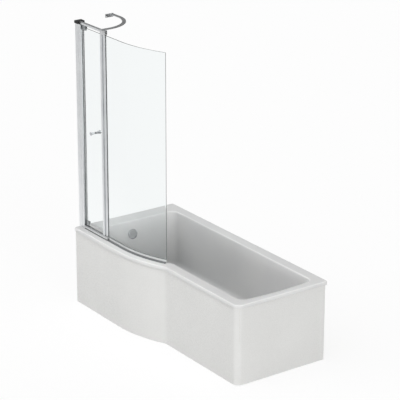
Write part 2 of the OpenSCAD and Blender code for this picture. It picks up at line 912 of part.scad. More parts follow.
module lift_lever()
    color("gray")
        translate([lever_x, waste_y, lever_z])
            rotate([90, 0, 0])
                translate([0, 0, -lever_w / 2])
                    difference() {
                        union() {
                            cylinder(r = lever_hub_r, h = lever_w);
                            translate([0, -lever_tip_r, 0]) cube([lever_l, 2 * lever_tip_r, lever_w]);
                            translate([lever_l, 0, 0]) cylinder(r = lever_tip_r, h = lever_w);
                        }
                        translate([0, 0, -cut])
                            cylinder(r = lever_pin_r + run_fit, h = lever_w + 2 * cut);
                    }

module lever_pin()
    color("silver")
        translate([lever_x, waste_y + waste_r * 0.75, lever_z])
            rotate([90, 0, 0])
                cylinder(r = lever_pin_r, h = waste_r * 1.5);

// ---- overflow ----

module overflow_faceplate()
    color("silver")
        at_overflow() {
            ring(0, face_t, face_r, sleeve_r - sleeve_t);
            ring(-sleeve_l, eps, sleeve_r, sleeve_r - sleeve_t);
        }

module overflow_dial()
    color("silver")
        at_overflow()
            difference() {
                union() {
                    rod(0, 0, dial_back, dial_proud, dial_r);
                    rod(0, 0, -2, dial_proud, dial_hub_r);
                }
                rod(0, 0, -2 - cut, dial_back + spindle_in, spindle_r + run_fit);
            }

module dial_spindle()
    color("gray")
        at_overflow()
            rod(0, 0, cup_z - cup_depth, dial_back + spindle_in - run_fit, spindle_r);

module overflow_gasket()
    color("dimgray")
        at_overflow() ring(cup_z, -wall_n, cup_r + cup_flange, sleeve_r + seat_gap);

module overflow_body()
    color("gray")
        difference() {
            union() {
                at_overflow() {
                    rod(0, 0, cup_z - cup_rim_t, cup_z, cup_r + cup_flange);
                    rod(0, 0, cup_z - cup_depth, cup_z, cup_r);
                }
                rod(spigot_x, waste_y, spigot_z, overflow_z - 10, spigot_r);
                rod(cable_x, waste_y - cable_off, cable_top, overflow_z, gland_r);
            }
            at_overflow()
                difference() {
                    rod(0, 0, cup_z - cup_depth + cup_wall, cup_z + cut, sleeve_r + screw_fit);
                    rod(0, 0, cup_z - cup_depth, cup_z - sleeve_l, spindle_hub_r);
                }
            at_overflow()
                rod(0, 0, cup_z - cup_depth - cut, cup_z, spindle_r + run_fit);
            difference() {
                rod(spigot_x, waste_y, spigot_z - cut, overflow_z - 14, spigot_r - spigot_wall);
                at_overflow() rod(0, 0, cup_z - cup_depth, cup_z, spindle_hub_r);
            }
        }

module overflow_hose()
    color("gray")
        difference() {
            down_pipe(spigot_x, waste_y, spigot_z + hose_overlap, inlet_z, hose_bend_r,
                hose_end_x, hose_r);
            down_pipe(spigot_x, waste_y, spigot_z + hose_overlap + cut, inlet_z, hose_bend_r,
                hose_end_x + cut, hose_r - hose_t);
        }

module hose_nuts()
    color("dimgray") {
        translate([spigot_x, waste_y, 0])
            ring(spigot_z, spigot_z + hose_nut_l, hose_r + hose_nut_t, hose_r + run_fit);
        translate([hose_end_x, waste_y, inlet_z])
            rotate([0, -90, 0])
                ring(0, hose_nut_l, hose_r + hose_nut_t, hose_r + run_fit);
    }

module control_cable()
    color("black")
        down_pipe(cable_x, waste_y - cable_off, cable_top, cable_z, cable_bend_r,
            cable_end_x, cable_r);

// ---- screen frame ----

module wall_channel()
    color("lightgray")
        difference() {
            box([x0, screen_y - frame_d / 2, rim_h],
                [channel_x1, screen_y + frame_d / 2, channel_top]);
            box([x0 + profile_t, screen_y - frame_d / 2 + profile_t, rim_h - cut],
                [channel_x1 + cut, screen_y + frame_d / 2 - profile_t, channel_top + cut]);
            for (k = [0, 1, 2])
                translate([x0 - cut, screen_y, rim_h + wall_hole_z + k * wall_hole_pitch])
                    rotate([0, 90, 0])
                        cylinder(r = wall_hole_r, h = profile_t + 2 * cut);
            lock_holes();
        }

// Holes for the screws that lock the jamb's tongue in the channel, from the basin's side
module lock_holes()
    for (z = lock_zs)
        translate([lock_x, screen_y + frame_d / 2 + cut, z])
            rotate([90, 0, 0])
                cylinder(r = screw_r + screw_fit, h = frame_d / 3);

module jamb_screws()
    color("silver")
        for (z = lock_zs)
            translate([lock_x, screen_y + frame_d / 2, z])
                rotate([90, 0, 0]) {
                    cylinder(r = screw_r, h = frame_d / 3 - 2 * cut);
                    translate([0, 0, -head_t]) cylinder(r = head_r, h = head_t);
                }

module channel_cap()
    color("black")
        box([x0, screen_y - cap_front, channel_top],
            [x0 + cap_l, screen_y + cap_back, channel_top + cap_h]);

// Two hollows with a solid web between them, for a profile from x_a to x_b
module web_hollows(x_a, x_b, d, z_a, z_b)
    for (s = [-1, 1])
        box([x_a + profile_t, screen_y + (s > 0 ? web_w / 2 : -d / 2 + profile_t), z_a - cut],
            [x_b - profile_t, screen_y + (s > 0 ? d / 2 - profile_t : -web_w / 2), z_b + cut]);

module jamb()
    color("silver")
        difference() {
            union() {
                box([channel_x1 + seat_gap, screen_y - frame_d / 2, rim_h],
                    [jamb_x1, screen_y + frame_d / 2, channel_top]);
                box([x0 + profile_t + tongue_gap, screen_y - tongue_d / 2, rim_h],
                    [channel_x1 + seat_gap + profile_t, screen_y + tongue_d / 2, channel_top]);
            }
            web_hollows(channel_x1 + seat_gap, jamb_x1, frame_d, rim_h, channel_top);
            web_hollows(x0 + profile_t + tongue_gap, channel_x1 + seat_gap, tongue_d,
                rim_h, channel_top);
            lock_holes();
            screw_hole((channel_x1 + jamb_x1) / 2, screen_y, channel_top, frame_screw_l, -1);
        }

module top_rail()
    color("silver")
        difference() {
            box([rail_x0, screen_y - top_rail_d / 2, channel_top],
                [post_x0, screen_y + top_rail_d / 2, frame_top]);
            rod((channel_x1 + jamb_x1) / 2, screen_y, channel_top - cut, frame_top + cut,
                screw_r + screw_fit);
            rod((channel_x1 + jamb_x1) / 2, screen_y, frame_top - head_t, frame_top + cut,
                head_r + screw_fit);
            rod(door_x, screen_y, channel_top - cut, channel_top + door_pin_in,
                door_pin_r + run_fit);
        }

module bottom_rail()
    color("silver")
        difference() {
            box([jamb_x1, screen_y - frame_d / 2, sill_top],
                [post_x1, screen_y + frame_d / 2, bottom_rail_top]);
            rod((post_x0 + post_x1) / 2, screen_y, sill_top - cut, bottom_rail_top + cut,
                screw_r + screw_fit);
            rod((post_x0 + post_x1) / 2, screen_y, sill_top - cut, sill_top + head_t,
                head_r + screw_fit);
            rod(door_x, screen_y, bottom_rail_top - door_pin_in, bottom_rail_top + cut,
                door_pin_r + run_fit);
        }

module sill_gasket()
    color("dimgray")
        box([jamb_x1, screen_y - frame_d / 2 + 3, rim_h],
            [block_x1, screen_y + frame_d / 2 - 3, sill_top]);

module middle_post()
    color("silver")
        difference() {
            box([post_x0, screen_y - frame_d / 2, bottom_rail_top],
                [post_x1, screen_y + frame_d / 2, head_z]);
            web_hollows(post_x0, post_x1, frame_d, bottom_rail_top, head_z);
            screw_hole((post_x0 + post_x1) / 2, screen_y, head_z, frame_screw_l, -1);
            screw_hole((post_x0 + post_x1) / 2, screen_y, bottom_rail_top, frame_screw_l, 1);
        }

module post_head()
    color("lightgray")
        difference() {
            box([post_x0, screen_y - frame_d / 2, head_z],
                [block_x1, screen_y + frame_d / 2, frame_top]);
            rod((post_x0 + post_x1) / 2, screen_y, head_z - cut, frame_top + cut,
                screw_r + screw_fit);
            rod((post_x0 + post_x1) / 2, screen_y, frame_top - head_t, frame_top + cut,
                head_r + screw_fit);
            rod(pivot_x, screen_y, head_z - cut, head_z + pin_in, pin_r + run_fit);
            screw_hole(arm_x, arm_y0 + arm_screw_in, frame_top, frame_screw_l / 2, -1);
        }

module post_foot()
    color("lightgray")
        difference() {
            box([post_x1, screen_y - frame_d / 2, sill_top],
                [block_x1, screen_y + frame_d / 2, bottom_rail_top]);
            rod(pivot_x, screen_y, bottom_rail_top - pin_in, bottom_rail_top + cut,
                pin_r + run_fit);
        }

module frame_screws()
    color("silver") {
        screw((channel_x1 + jamb_x1) / 2, screen_y, frame_top - head_t,
            top_rail_h - head_t + frame_screw_l, -1);
        screw((post_x0 + post_x1) / 2, screen_y, frame_top - head_t,
            head_h - head_t + frame_screw_l, -1);
        screw((post_x0 + post_x1) / 2, screen_y, sill_top + head_t,
            bottom_rail_h - head_t + frame_screw_l, 1);
    }

// ---- access door ----

module door_pivot_pins()
    color("silver") {
        rod(door_x, screen_y, bottom_rail_top - door_pin_in + run_fit,
            door_z0 + clamp_h - clamp_slot - 2, door_pin_r);
        rod(door_x, screen_y, door_z1 - clamp_h + clamp_slot + 2,
            channel_top + door_pin_in - run_fit, door_pin_r);
    }

// One clamp that stands on z = 0 with its slot open to the top
module door_clamp()
    difference() {
        union() {
            cylinder(r = clamp_r, h = clamp_h);
            box([0, -clamp_r, 0], [clamp_l, clamp_r, clamp_h]);
        }
        box([-clamp_r - cut, -glass_t / 2, clamp_h - clamp_slot],
            [clamp_l + cut, glass_t / 2, clamp_h + cut]);
        translate([0, 0, -cut])
            cylinder(r = door_pin_r + run_fit, h = clamp_h - clamp_slot - 2 + 2 * cut);
    }

module door_clamps()
    color("silver") {
        translate([door_x, screen_y, door_z0]) door_clamp();
        translate([door_x, screen_y, door_z1]) mirror([0, 0, 1]) door_clamp();
    }

module door_glass()
    color([0.9, 0.97, 0.97, 0.35])
        difference() {
            box([door_glass_x0, screen_y - glass_t / 2, door_glass_z0],
                [door_glass_x1, screen_y + glass_t / 2, door_glass_z1]);
            translate([knob_x, screen_y + glass_t, knob_h])
                rotate([90, 0, 0])
                    cylinder(r = knob_stud_r + screw_fit, h = 2 * glass_t);
        }

module door_edge_seal()
    color("whitesmoke")
        difference() {
            box([door_glass_x1 - edge_seal_leg, screen_y - glass_t / 2 - edge_seal_t,
                    door_glass_z0],
                [post_x0 - edge_gap, screen_y + glass_t / 2 + edge_seal_t, door_glass_z1]);
            box([door_glass_x1 - edge_seal_leg - cut, screen_y - glass_t / 2,
                    door_glass_z0 - cut],
                [door_glass_x1, screen_y + glass_t / 2, door_glass_z1 + cut]);
        }

module door_bottom_seal()
    color("whitesmoke")
        difference() {
            box([door_x + clamp_l + seat_gap, screen_y - glass_t / 2 - edge_seal_t, door_z0],
                [door_glass_x1 - edge_seal_leg - seat_gap,
                    screen_y + glass_t / 2 + edge_seal_t, door_glass_z0 + edge_seal_leg]);
            box([door_x, screen_y - glass_t / 2, door_glass_z0],
                [door_glass_x1, screen_y + glass_t / 2, door_glass_z0 + 2 * edge_seal_leg]);
        }

module jamb_seal()
    color("whitesmoke")
        box([jamb_x1, screen_y - glass_t / 2, door_z0],
            [door_glass_x0 - edge_gap, screen_y + glass_t / 2, door_z1]);

// A knob that grows along z from its neck at the glass
module knob()
    difference() {
        union() {
            cylinder(r1 = knob_neck_r, r2 = knob_r, h = knob_l - knob_cap);
            translate([0, 0, knob_l - knob_cap]) cylinder(r = knob_r, h = knob_cap);
        }
        translate([0, 0, -cut]) cylinder(r = knob_stud_r + run_fit, h = knob_stud_in + cut);
    }

module outer_knob()
    color("silver")
        translate([knob_x, screen_y - glass_t / 2 - washer_t, knob_h])
            rotate([90, 0, 0]) knob();

module inner_knob()
    color("silver")
        translate([knob_x, screen_y + glass_t / 2 + washer_t, knob_h])
            rotate([-90, 0, 0]) knob();

module knob_stud()
    color("silver")
        translate([knob_x, screen_y + glass_t / 2 + washer_t + knob_stud_in - 1, knob_h])
            rotate([90, 0, 0])
                cylinder(r = knob_stud_r, h = glass_t + 2 * washer_t + 2 * knob_stud_in - 2);

module knob_washers()
    color("dimgray")
        for (s = [-1, 1])
            translate([knob_x, screen_y + s * glass_t / 2, knob_h])
                rotate([-90 * s, 0, 0])
                    ring(0, washer_t, washer_r, knob_stud_r + screw_fit);

// ---- curved glass ----

module pivot_profile()
    color("silver")
        difference() {
            union() {
                rod(pivot_x, screen_y, profile_z0, profile_z1, pivot_r);
                box([pivot_x, screen_y - nose_r, profile_z0],
                    [pivot_x + nose_l, screen_y + nose_r, profile_z1]);
            }
            rod(pivot_x, screen_y, profile_z0 - cut, profile_z1 + cut, bush_r + run_fit);
            box([glass_x0 - gasket_t, screen_y - glass_t / 2 - gasket_t, profile_z0 - cut],
                [pivot_x + nose_l + cut, screen_y + glass_t / 2 + gasket_t, profile_z1 + cut]);
        }

module pivot_pins()
    color("silver") {
        rod(pivot_x, screen_y, bottom_rail_top - pin_in + run_fit, profile_z0 + bush_l - 2,
            pin_r);
        rod(pivot_x, screen_y, profile_z1 - bush_l + 2, head_z + pin_in - run_fit, pin_r);
    }

module pivot_bushes()
    color("white")
        translate([pivot_x, screen_y, 0]) {
            ring(profile_z0 - seat_gap - collar_t, profile_z0 - seat_gap, collar_r,
                pin_r + run_fit);
            ring(profile_z0 - seat_gap - eps, profile_z0 + bush_l, bush_r, pin_r + run_fit);
            ring(profile_z1 + seat_gap, profile_z1 + seat_gap + collar_t, collar_r,
                pin_r + run_fit);
            ring(profile_z1 - bush_l, profile_z1 + seat_gap + eps, bush_r, pin_r + run_fit);
        }

module glass_gasket()
    color("dimgray")
        difference() {
            box([glass_x0 - gasket_t, screen_y - glass_t / 2 - gasket_t, profile_z0],
                [pivot_x + nose_l, screen_y + glass_t / 2 + gasket_t, glass_z1]);
            box([glass_x0, screen_y - glass_t / 2, profile_z0 - cut],
                [pivot_x + nose_l + cut, screen_y + glass_t / 2, glass_z1 + cut]);
        }

// A strip that follows the curved glass: a section in [outward, up], run from x_start
module along_glass(x_start) {
    translate([x_start, screen_y, 0])
        rotate([90, 0, 90])
            linear_extrude(swell_cx - x_start)
                mirror([1, 0])
                    children();
    translate([swell_cx, swell_cy, 0])
        rotate(-90)
            rotate_extrude(angle = glass_a, $fn = arc_fn)
                translate([screen_r, 0])
                    children();
}

// The glass, its foot cut away over the post's foot, round which it turns
module curved_glass()
    color([0.9, 0.97, 0.97, 0.35])
        difference() {
            along_glass(glass_x0)
                translate([-glass_t / 2, glass_z0]) square([glass_t, glass_z1 - glass_z0]);
            box([pivot_x, screen_y - glass_t, glass_z0 - cut],
                [notch_x1, screen_y + glass_t, profile_z0]);
        }

module curved_seal()
    color("whitesmoke")
        along_glass(seal_x0)
            polygon([
                [-seal_heel, rim_h + seat_gap],
                [seal_foot, rim_h + seat_gap],
                [seal_foot, rim_h + seal_toe_h],
                [glass_t / 2 + seal_wall, rim_h + 4 * seal_toe_h],
                [glass_t / 2 + seal_wall, glass_z0 + seal_grip],
                [glass_t / 2, glass_z0 + seal_grip],
                [glass_t / 2, glass_z0],
                [-glass_t / 2, glass_z0],
                [-glass_t / 2, glass_z0 + seal_grip],
                [-glass_t / 2 - seal_wall, glass_z0 + seal_grip],
                [-glass_t / 2 - seal_wall, rim_h + 3 * seal_toe_h],
                [-seal_heel, rim_h + seal_toe_h]]);

// ---- brace arm ----

module brace_arm()
    color("gray")
        difference() {
            union() {
                box([arm_x - arm_w / 2, arm_y0, frame_top],
                    [arm_x + arm_w / 2, arm_y - arm_bend_r, frame_top + arm_t]);
                translate([arm_x - arm_bend_r, arm_y - arm_bend_r, frame_top])
                    rotate_extrude(angle = 90, $fn = arc_fn)
                        translate([arm_bend_r - arm_w / 2, 0]) square([arm_w, arm_t]);
                box([x0 + arm_plate_t + seat_gap, arm_y - arm_w / 2, frame_top],
                    [arm_x - arm_bend_r, arm_y + arm_w / 2, frame_top + arm_t]);
            }
            for (s = arm_screw_spots())
                rod(s[0], s[1], frame_top - cut, frame_top + arm_t + cut, screw_r + screw_fit);
        }

function arm_screw_spots() = [
    [arm_x, arm_y0 + arm_screw_in],
    [x0 + arm_plate_t + arm_shelf / 2, arm_y]];

module arm_wall_plate()
    color("lightgray")
        difference() {
            union() {
                box([x0, arm_plate_y1 - arm_plate_w, arm_plate_z0],
                    [x0 + arm_plate_t, arm_plate_y1, arm_plate_z0 + arm_plate_h]);
                box([x0, arm_y - arm_w / 2, frame_top - arm_shelf_t],
                    [x0 + arm_plate_t + arm_shelf, arm_y + arm_w / 2, frame_top]);
            }
            for (k = [0, 1])
                translate([x0 - cut, arm_hole_y0 + k * arm_hole_pitch, arm_hole_z])
                    rotate([0, 90, 0])
                        cylinder(r = wall_hole_r, h = arm_plate_t + 2 * cut);
            rod(x0 + arm_plate_t + arm_shelf / 2, arm_y, frame_top - 2 * arm_shelf_t,
                frame_top + cut, screw_r + screw_fit);
        }

module arm_screws()
    color("silver") {
        screw(arm_x, arm_y0 + arm_screw_in, frame_top + arm_t, arm_t + frame_screw_l / 2 - 1, -1);
        screw(x0 + arm_plate_t + arm_shelf / 2, arm_y, frame_top + arm_t,
            arm_t + arm_shelf_t, -1);
    }

tub();
baseboard();
front_battens();
end_batten();
leg_rails();
centre_plate();
board_screws();
leg_studs();
leg_nuts();
feet();
wall_brackets();
front_panel();
end_panel();
panel_clips();
clip_screws();
waste_flange();
waste_gasket();
waste_body();
waste_plug();
plug_seal();
lift_lever();
lever_pin();
overflow_faceplate();
overflow_dial();
dial_spindle();
overflow_gasket();
overflow_body();
overflow_hose();
hose_nuts();
control_cable();
wall_channel();
channel_cap();
jamb();
jamb_screws();
top_rail();
bottom_rail();
sill_gasket();
middle_post();
post_head();
post_foot();
frame_screws();
door_pivot_pins();
door_clamps();
door_glass();
door_edge_seal();
door_bottom_seal();
jamb_seal();
outer_knob();
inner_knob();
knob_stud();
knob_washers();
pivot_profile();
pivot_pins();
pivot_bushes();
glass_gasket();
curved_glass();
curved_seal();
brace_arm();
arm_wall_plate();
arm_screws();
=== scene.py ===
import json
import math

import bmesh
import bpy
from mathutils import Matrix, Vector
from mathutils.geometry import tessellate_polygon


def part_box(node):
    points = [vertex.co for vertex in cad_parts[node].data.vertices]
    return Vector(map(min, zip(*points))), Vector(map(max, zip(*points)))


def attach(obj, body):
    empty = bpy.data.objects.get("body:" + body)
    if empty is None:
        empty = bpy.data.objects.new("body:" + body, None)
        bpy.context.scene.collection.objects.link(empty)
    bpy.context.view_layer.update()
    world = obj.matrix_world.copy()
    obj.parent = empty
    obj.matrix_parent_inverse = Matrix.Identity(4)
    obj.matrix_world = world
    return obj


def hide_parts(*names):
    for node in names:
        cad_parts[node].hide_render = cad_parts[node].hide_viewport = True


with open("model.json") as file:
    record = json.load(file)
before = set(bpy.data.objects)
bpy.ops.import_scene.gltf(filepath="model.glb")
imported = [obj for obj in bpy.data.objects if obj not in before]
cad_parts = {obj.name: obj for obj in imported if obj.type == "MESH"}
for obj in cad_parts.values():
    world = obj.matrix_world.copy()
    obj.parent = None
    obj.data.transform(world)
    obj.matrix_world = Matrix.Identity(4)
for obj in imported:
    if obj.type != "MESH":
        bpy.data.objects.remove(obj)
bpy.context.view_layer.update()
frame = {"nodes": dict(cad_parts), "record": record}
bodies = frame["record"]["behaviour"]["bodies"]
body_of = {node: name for name, held in bodies.items() for node in held}

# Every size below is in millimetres, in the part's own frame; MM turns it to metres.
MM = 0.001

# ---- sizes, as in the part's source ----

GAP = 0.3  # the clearance between two pieces that seat on each other
X0, X1 = -850, 850
Y_BACK, Y_WIDE, Y_NARROW = 400, -400, -300
RIM, RIM_UNDER, LIP_FOOT, LIP_T = 538, 533, 513, 5
SWELL_X, SWELL_Y, SWELL_R, BLEND_R = -335, 500, 900, 75
BLEND_DX = math.sqrt((SWELL_R + BLEND_R)**2 - (SWELL_Y - Y_NARROW + BLEND_R)**2)
BLEND_X, BLEND_Y = SWELL_X + BLEND_DX, Y_NARROW - BLEND_R
SWELL_A = math.degrees(math.asin(BLEND_DX / (SWELL_R + BLEND_R)))
CORNER_R, WALL_CORNER_R = 50, 12

# the basin: its rim line, floor and the way its walls lean
BASIN_X0, BASIN_X1, BASIN_Y0, BASIN_YW, BASIN_Y1 = -731, 801, -224, -324, 326
BASIN_CORNER, BASIN_RIM_CORNER, HEAD_BOW, FRONT_RIM = 80, 45, 15, 76
FLOOR, SHELL_T, ROUND_W, ROUND_H = 150, 6, 60, 70
SIDE_LEAN, HEAD_LEAN, WALL_H = 40, 150, RIM - FLOOR - ROUND_H
WALL_A = math.atan(SIDE_LEAN / WALL_H)

# the waste, the overflow and what joins them under the tub
UP, DOWN, FRONT = (0, 0, 1), (0, 0, -1), (0, -1, 0)
WASTE_X, WASTE_Y, WASTE_R, INLET_L = -560, -25, 32, 30
WASTE = (WASTE_X, WASTE_Y, FLOOR)
OVERFLOW_DROP = 90
OVERFLOW = Vector((BASIN_X0 + SIDE_LEAN * OVERFLOW_DROP / WALL_H, WASTE_Y, RIM - OVERFLOW_DROP))
OVERFLOW_AXIS = Vector((math.cos(WALL_A), 0, math.sin(WALL_A)))
CUP_DEPTH, CUP_GASKET = 36, 2.5
SPIGOT_X = OVERFLOW.x - math.cos(WALL_A) * (CUP_DEPTH / 2 + SHELL_T * math.cos(WALL_A) + CUP_GASKET)
HOSE_TOP, HOSE_Z, HOSE_OVERLAP, HOSE_R, HOSE_RIB, PIPE_BEND = 410, 107, 14, 14, 1, 60
CABLE_TOP, CABLE_Z, CABLE_R, CABLE_X, CABLE_Y = 398, 99, 3, SPIGOT_X - 8, WASTE_Y - 24

PANEL_IN, PANEL_T, PANEL_H, PANEL_SEAM = 8, 3.5, 527, 0.4
BATTEN_T = 30

# the screen: its frame, the door and the curved glass
SCREEN_Y, FRAME_D, FRAME_TOP, BAR_WALL = -342, 33, 1955, 2
FRONT_Y, BACK_Y = SCREEN_Y - FRAME_D / 2, SCREEN_Y + FRAME_D / 2
CHANNEL_X1, JAMB_X1, POST_X0, POST_X1, PIVOT_X = -812, -785, -554, -536, -525
CHANNEL_TOP, HEAD_Z, SILL_TOP, BOTTOM_RAIL_TOP, CAP_L = 1940, 1930, 546, 565, 45
PIVOT_R, PIVOT_BORE, NOSE_L, NOSE_HALF, BLOCK_X1 = 10, 5.05, 16, 7.5, PIVOT_X + 16
GLASS_HALF, SLOT_HALF, ARRIS, GLASS_R = 3, 4.5, 0.5, SWELL_R - 58
GLASS_X0, GLASS_X1, GLASS_Z0, GLASS_Z1 = PIVOT_X + 8, PIVOT_X + 560, 560, 1926
GLASS_A = math.degrees(math.asin((GLASS_X1 - SWELL_X) / GLASS_R))
NOTCH_X = PIVOT_X + math.hypot(BLOCK_X1 - PIVOT_X, FRAME_D / 2) + 1
PROFILE_Z0, PROFILE_Z1 = 567.1, 1927.9
DOOR_X, DOOR_Z0, DOOR_Z1 = -771, 567, 1938
PANE_X0, PANE_X1, PANE_Z0, PANE_Z1 = -779, -560, 581, 1924
CLAMP_R, CLAMP_L, CLAMP_H, CLAMP_PAD = 8, 30, 30, 14
DOOR_SEAL_HALF, DOOR_SEAL_GRIP = 4.2, 8
KNOB_X, KNOB_Z, WASHER_T = -650, 1243, 1
ARM_X, ARM_Y, ARM_BEND, ARM_W, ARM_T, ARM_PLATE_T = -541, -82, 218, 25, 5, 5


def shown(name, data):
    """A new object in the scene."""
    made = bpy.data.objects.new(name, data)
    bpy.context.scene.collection.objects.link(made)
    return made


# ---- camera, at the photograph's angle ----

eye = bpy.data.cameras.new("eye")
eye.sensor_width = 36
# the focal length was fitted in pixels of the photograph, which is 400 pixels wide
eye.lens = 1832.9 * eye.sensor_width / 400
eye.clip_end = 60
camera = shown("eye", eye)
right = Vector((0.57858, 0.81562, 0.00164))
up = Vector((-0.28274, 0.19869, 0.93839))
ahead = Vector((-0.76505, 0.54340, -0.34556))
turn = Matrix((right, up, -ahead)).transposed().to_4x4()
camera.matrix_world = Matrix.Translation((8.970, -6.343, 4.948)) @ turn
bpy.context.scene.camera = camera
bpy.context.scene.view_settings.view_transform = "Standard"


# ---- drawing in millimetres ----

def arc(cx, cy, r, a0, a1, n):
    """Points on an arc, from angle a0 to a1 in n steps, both ends included."""
    steps = [math.radians(a0 + (a1 - a0) * k / n) for k in range(n + 1)]
    return [(cx + r * math.cos(a), cy + r * math.sin(a)) for a in steps]


def straight(a, b, n):
    """Points from a towards b in n steps, with b itself left out."""
    return [tuple(p + (q - p) * k / n for p, q in zip(a, b)) for k in range(n)]


def chain(stretches, steps):
    """Stretches joined into one closed ring, with so many steps in the straight after each of them: 0 where
    the next one starts at its end."""
    ring = []
    for part, following, n in zip(stretches, stretches[1:] + stretches[:1], steps):
        ring += part if n else part[:-1]
        ring += straight(part[-1], following[0], n)[1:]
    return ring


def rounded(points, radii, n=4):
    """A closed outline with each corner rounded by its radius."""
    out, count = [], len(points)
    for k in range(count):
        r = radii[k] if isinstance(radii, list) else radii
        p, q, s = Vector(points[k - 1]), Vector(points[k]), Vector(points[(k + 1) % count])
        a, b = (p - q).normalized(), (s - q).normalized()
        half = a.angle(b) / 2
        reach = min(r / math.tan(half), (p - q).length * 0.49, (s - q).length * 0.49)
        mid = q + (a + b).normalized() * (reach / math.cos(half))
        start, end = q + a * reach - mid, q + b * reach - mid
        sweep = math.atan2(start.x * end.y - start.y * end.x, start.dot(end))
        for t in (sweep * j / n for j in range(n + 1)):
            c, s = math.cos(t), math.sin(t)
            out.append((mid.x + start.x * c - start.y * s, mid.y + start.x * s + start.y * c))
    return out


def oblong(u0, u1, v0, v1, radii, n=4):
    """A rectangle with rounded corners."""
    return rounded([(u0, v0), (u1, v0), (u1, v1), (u0, v1)], radii, n)


def hole(cx, cy, r, n):
    """A round hole's outline, drawn clockwise."""
    return arc(cx, cy, r, 0, 360, n)[:-1][::-1]


def on_screen(points):
    """Plan points from their x and their distance behind the screen's middle line."""
    return [(x, SCREEN_Y + y) for x, y in points]


def drawn_in(loop, d):
    """A closed outline moved to its left by d: an anticlockwise one shrinks, a clockwise hole widens."""
    out, count = [], len(loop)
    for k in range(count):
        p, q, s = Vector(loop[k - 1]), Vector(loop[k]), Vector(loop[(k + 1) % count])
        a, b = (q - p).normalized(), (s - q).normalized()
        m = Vector((-a.y - b.y, a.x + b.x))
        out.append(tuple(q + m * (2 * d / max(m.length_squared, 0.5))) if d else loop[k])
    return out


def cap_levels(a, b, edge):
    """Heights and draw-ins of an extrusion from a to b whose two end edges are rounded by edge."""
    steps = [(edge * h, edge * d) for h, d in ((0, 1), (0.13, 0.5), (0.5, 0.13), (1, 0))]
    return [(a + h, d) for h, d in steps] + [(b - h, d) for h, d in reversed(steps)]


ALONG = {
    "X": lambda u, v, w: (w, u, v),
    "Y": lambda u, v, w: (u, w, v),
    "Z": lambda u, v, w: (u, v, w),
}


class Form:
    """Points in millimetres, faces and the number of each face's finish, gathered to become a mesh."""

    def __init__(self):
        self.points, self.faces, self.finish = [], [], []

    def loft(self, rings, finish=None, closed=False):
        """Faces between rings of equal length; finish gives a face's number from its ring and step."""
        base, n = len(self.points), len(rings[0])
        for ring in rings:
            self.points += ring
        for k in range(len(rings) if closed else len(rings) - 1):
            here, there = base + k * n, base + (k + 1) % len(rings) * n
            for s in range(n):
                t = (s + 1) % n
                self.faces.append((here + s, here + t, there + t, there + s))
                self.finish.append(finish(k, s) if finish else 0)
        return self

    def fill(self, loops, finish=0):
        """A flat face inside the first loop and outside the others."""
        base = len(self.points)
        for loop in loops:
            self.points += loop
        for tri in tessellate_polygon([[Vector(p) for p in loop] for loop in loops]):
            self.faces.append(tuple(base + i for i in tri))
            self.finish.append(finish)
        return self

    def extrude(self, loops, a, b, axis="Z", edge=0.3):
        """A profile drawn out from a to b, with its end edges rounded."""
        place, walls = ALONG[axis], []
        for loop in loops:
            rings = [[place(u, v, w) for u, v in drawn_in(loop, d)] for w, d in cap_levels(a, b, edge)]
            walls.append(rings)
            self.loft(rings)
        self.fill([rings[0] for rings in walls])
        return self.fill([rings[-1] for rings in walls])

    def turned(self, profile, at, axis, n):
        """A lathe-turned shape: profile is (radius, height), from pole to pole or closed on itself."""
        at, axis = Vector(at), Vector(axis).normalized()
        side = axis.orthogonal().normalized()
        other = axis.cross(side)
        spokes = [side * u + other * v for u, v in arc(0, 0, 1, 0, 360, n)[:-1]]
        rings = [[tuple(at + axis * h + spoke * max(r, 1e-4)) for spoke in spokes] for r, h in profile]
        return self.loft(rings, closed=profile[0][0] > 0)

    def sweep(self, path, section, up):
        """A section of (across, up) points carried along a path."""
        path, up, rings = [Vector(p) for p in path], Vector(up), []
        for k, p in enumerate(path):
            ahead = (path[min(k + 1, len(path) - 1)] - path[max(k - 1, 0)]).normalized()
            across = ahead.cross(up).normalized()
            rings.append([tuple(p + across * u + across.cross(ahead) * v) for u, v in section])
        return self.loft(rings).fill([rings[0]]).fill([rings[-1]])


def mesh_of(form):
    """The form as a mesh in metres."""
    mesh = bpy.data.meshes.new("form")
    mesh.from_pydata([(x * MM, y * MM, z * MM) for x, y, z in form.points], [], form.faces)
    mesh.polygons.foreach_set("material_index", form.finish)
    return mesh


def mended(mesh):
    """Merges a mesh's doubled points and turns its faces outwards."""
    bm = bmesh.new()
    bm.from_mesh(mesh)
    bmesh.ops.remove_doubles(bm, verts=bm.verts, dist=2e-6)
    bmesh.ops.dissolve_degenerate(bm, edges=bm.edges, dist=1e-6)
    bmesh.ops.recalc_face_normals(bm, faces=bm.faces)
    bm.to_mesh(mesh)
    bm.free()
    return mesh


def piece(name, form, looks, node, crease=32, even=True):
    """The form or mesh as one piece with its materials, riding with the CAD node that it stands for."""
    mesh = mended(mesh_of(form) if isinstance(form, Form) else form)
    mesh.name = name
    kept = [min(face.material_index, len(looks) - 1) for face in mesh.polygons]
    mesh.materials.clear()
    for look in looks:
        mesh.materials.append(look)
    mesh.polygons.foreach_set("material_index", kept)
    mesh.shade_smooth()
    mesh.set_sharp_from_angle(angle=math.radians(crease))
    made = shown(name, mesh)
    if even:
        made.modifiers.new("even_shading", "WEIGHTED_NORMAL").keep_sharp = True
    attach(made, body_of[node])
    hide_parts(node)


def drawn(name, node, loops, a, b, look, axis="Z", edge=0.3, crease=32):
    """A piece of one finish that is a profile drawn out from a to b."""
    piece(name, Form().extrude(loops, a, b, axis, edge), [look], node, crease)


def lathed(name, node, profile, at, axis, look, crease, n=96):
    """A piece of one finish that is turned on a lathe."""
    piece(name, Form().turned(profile, at, axis, n), [look], node, crease)


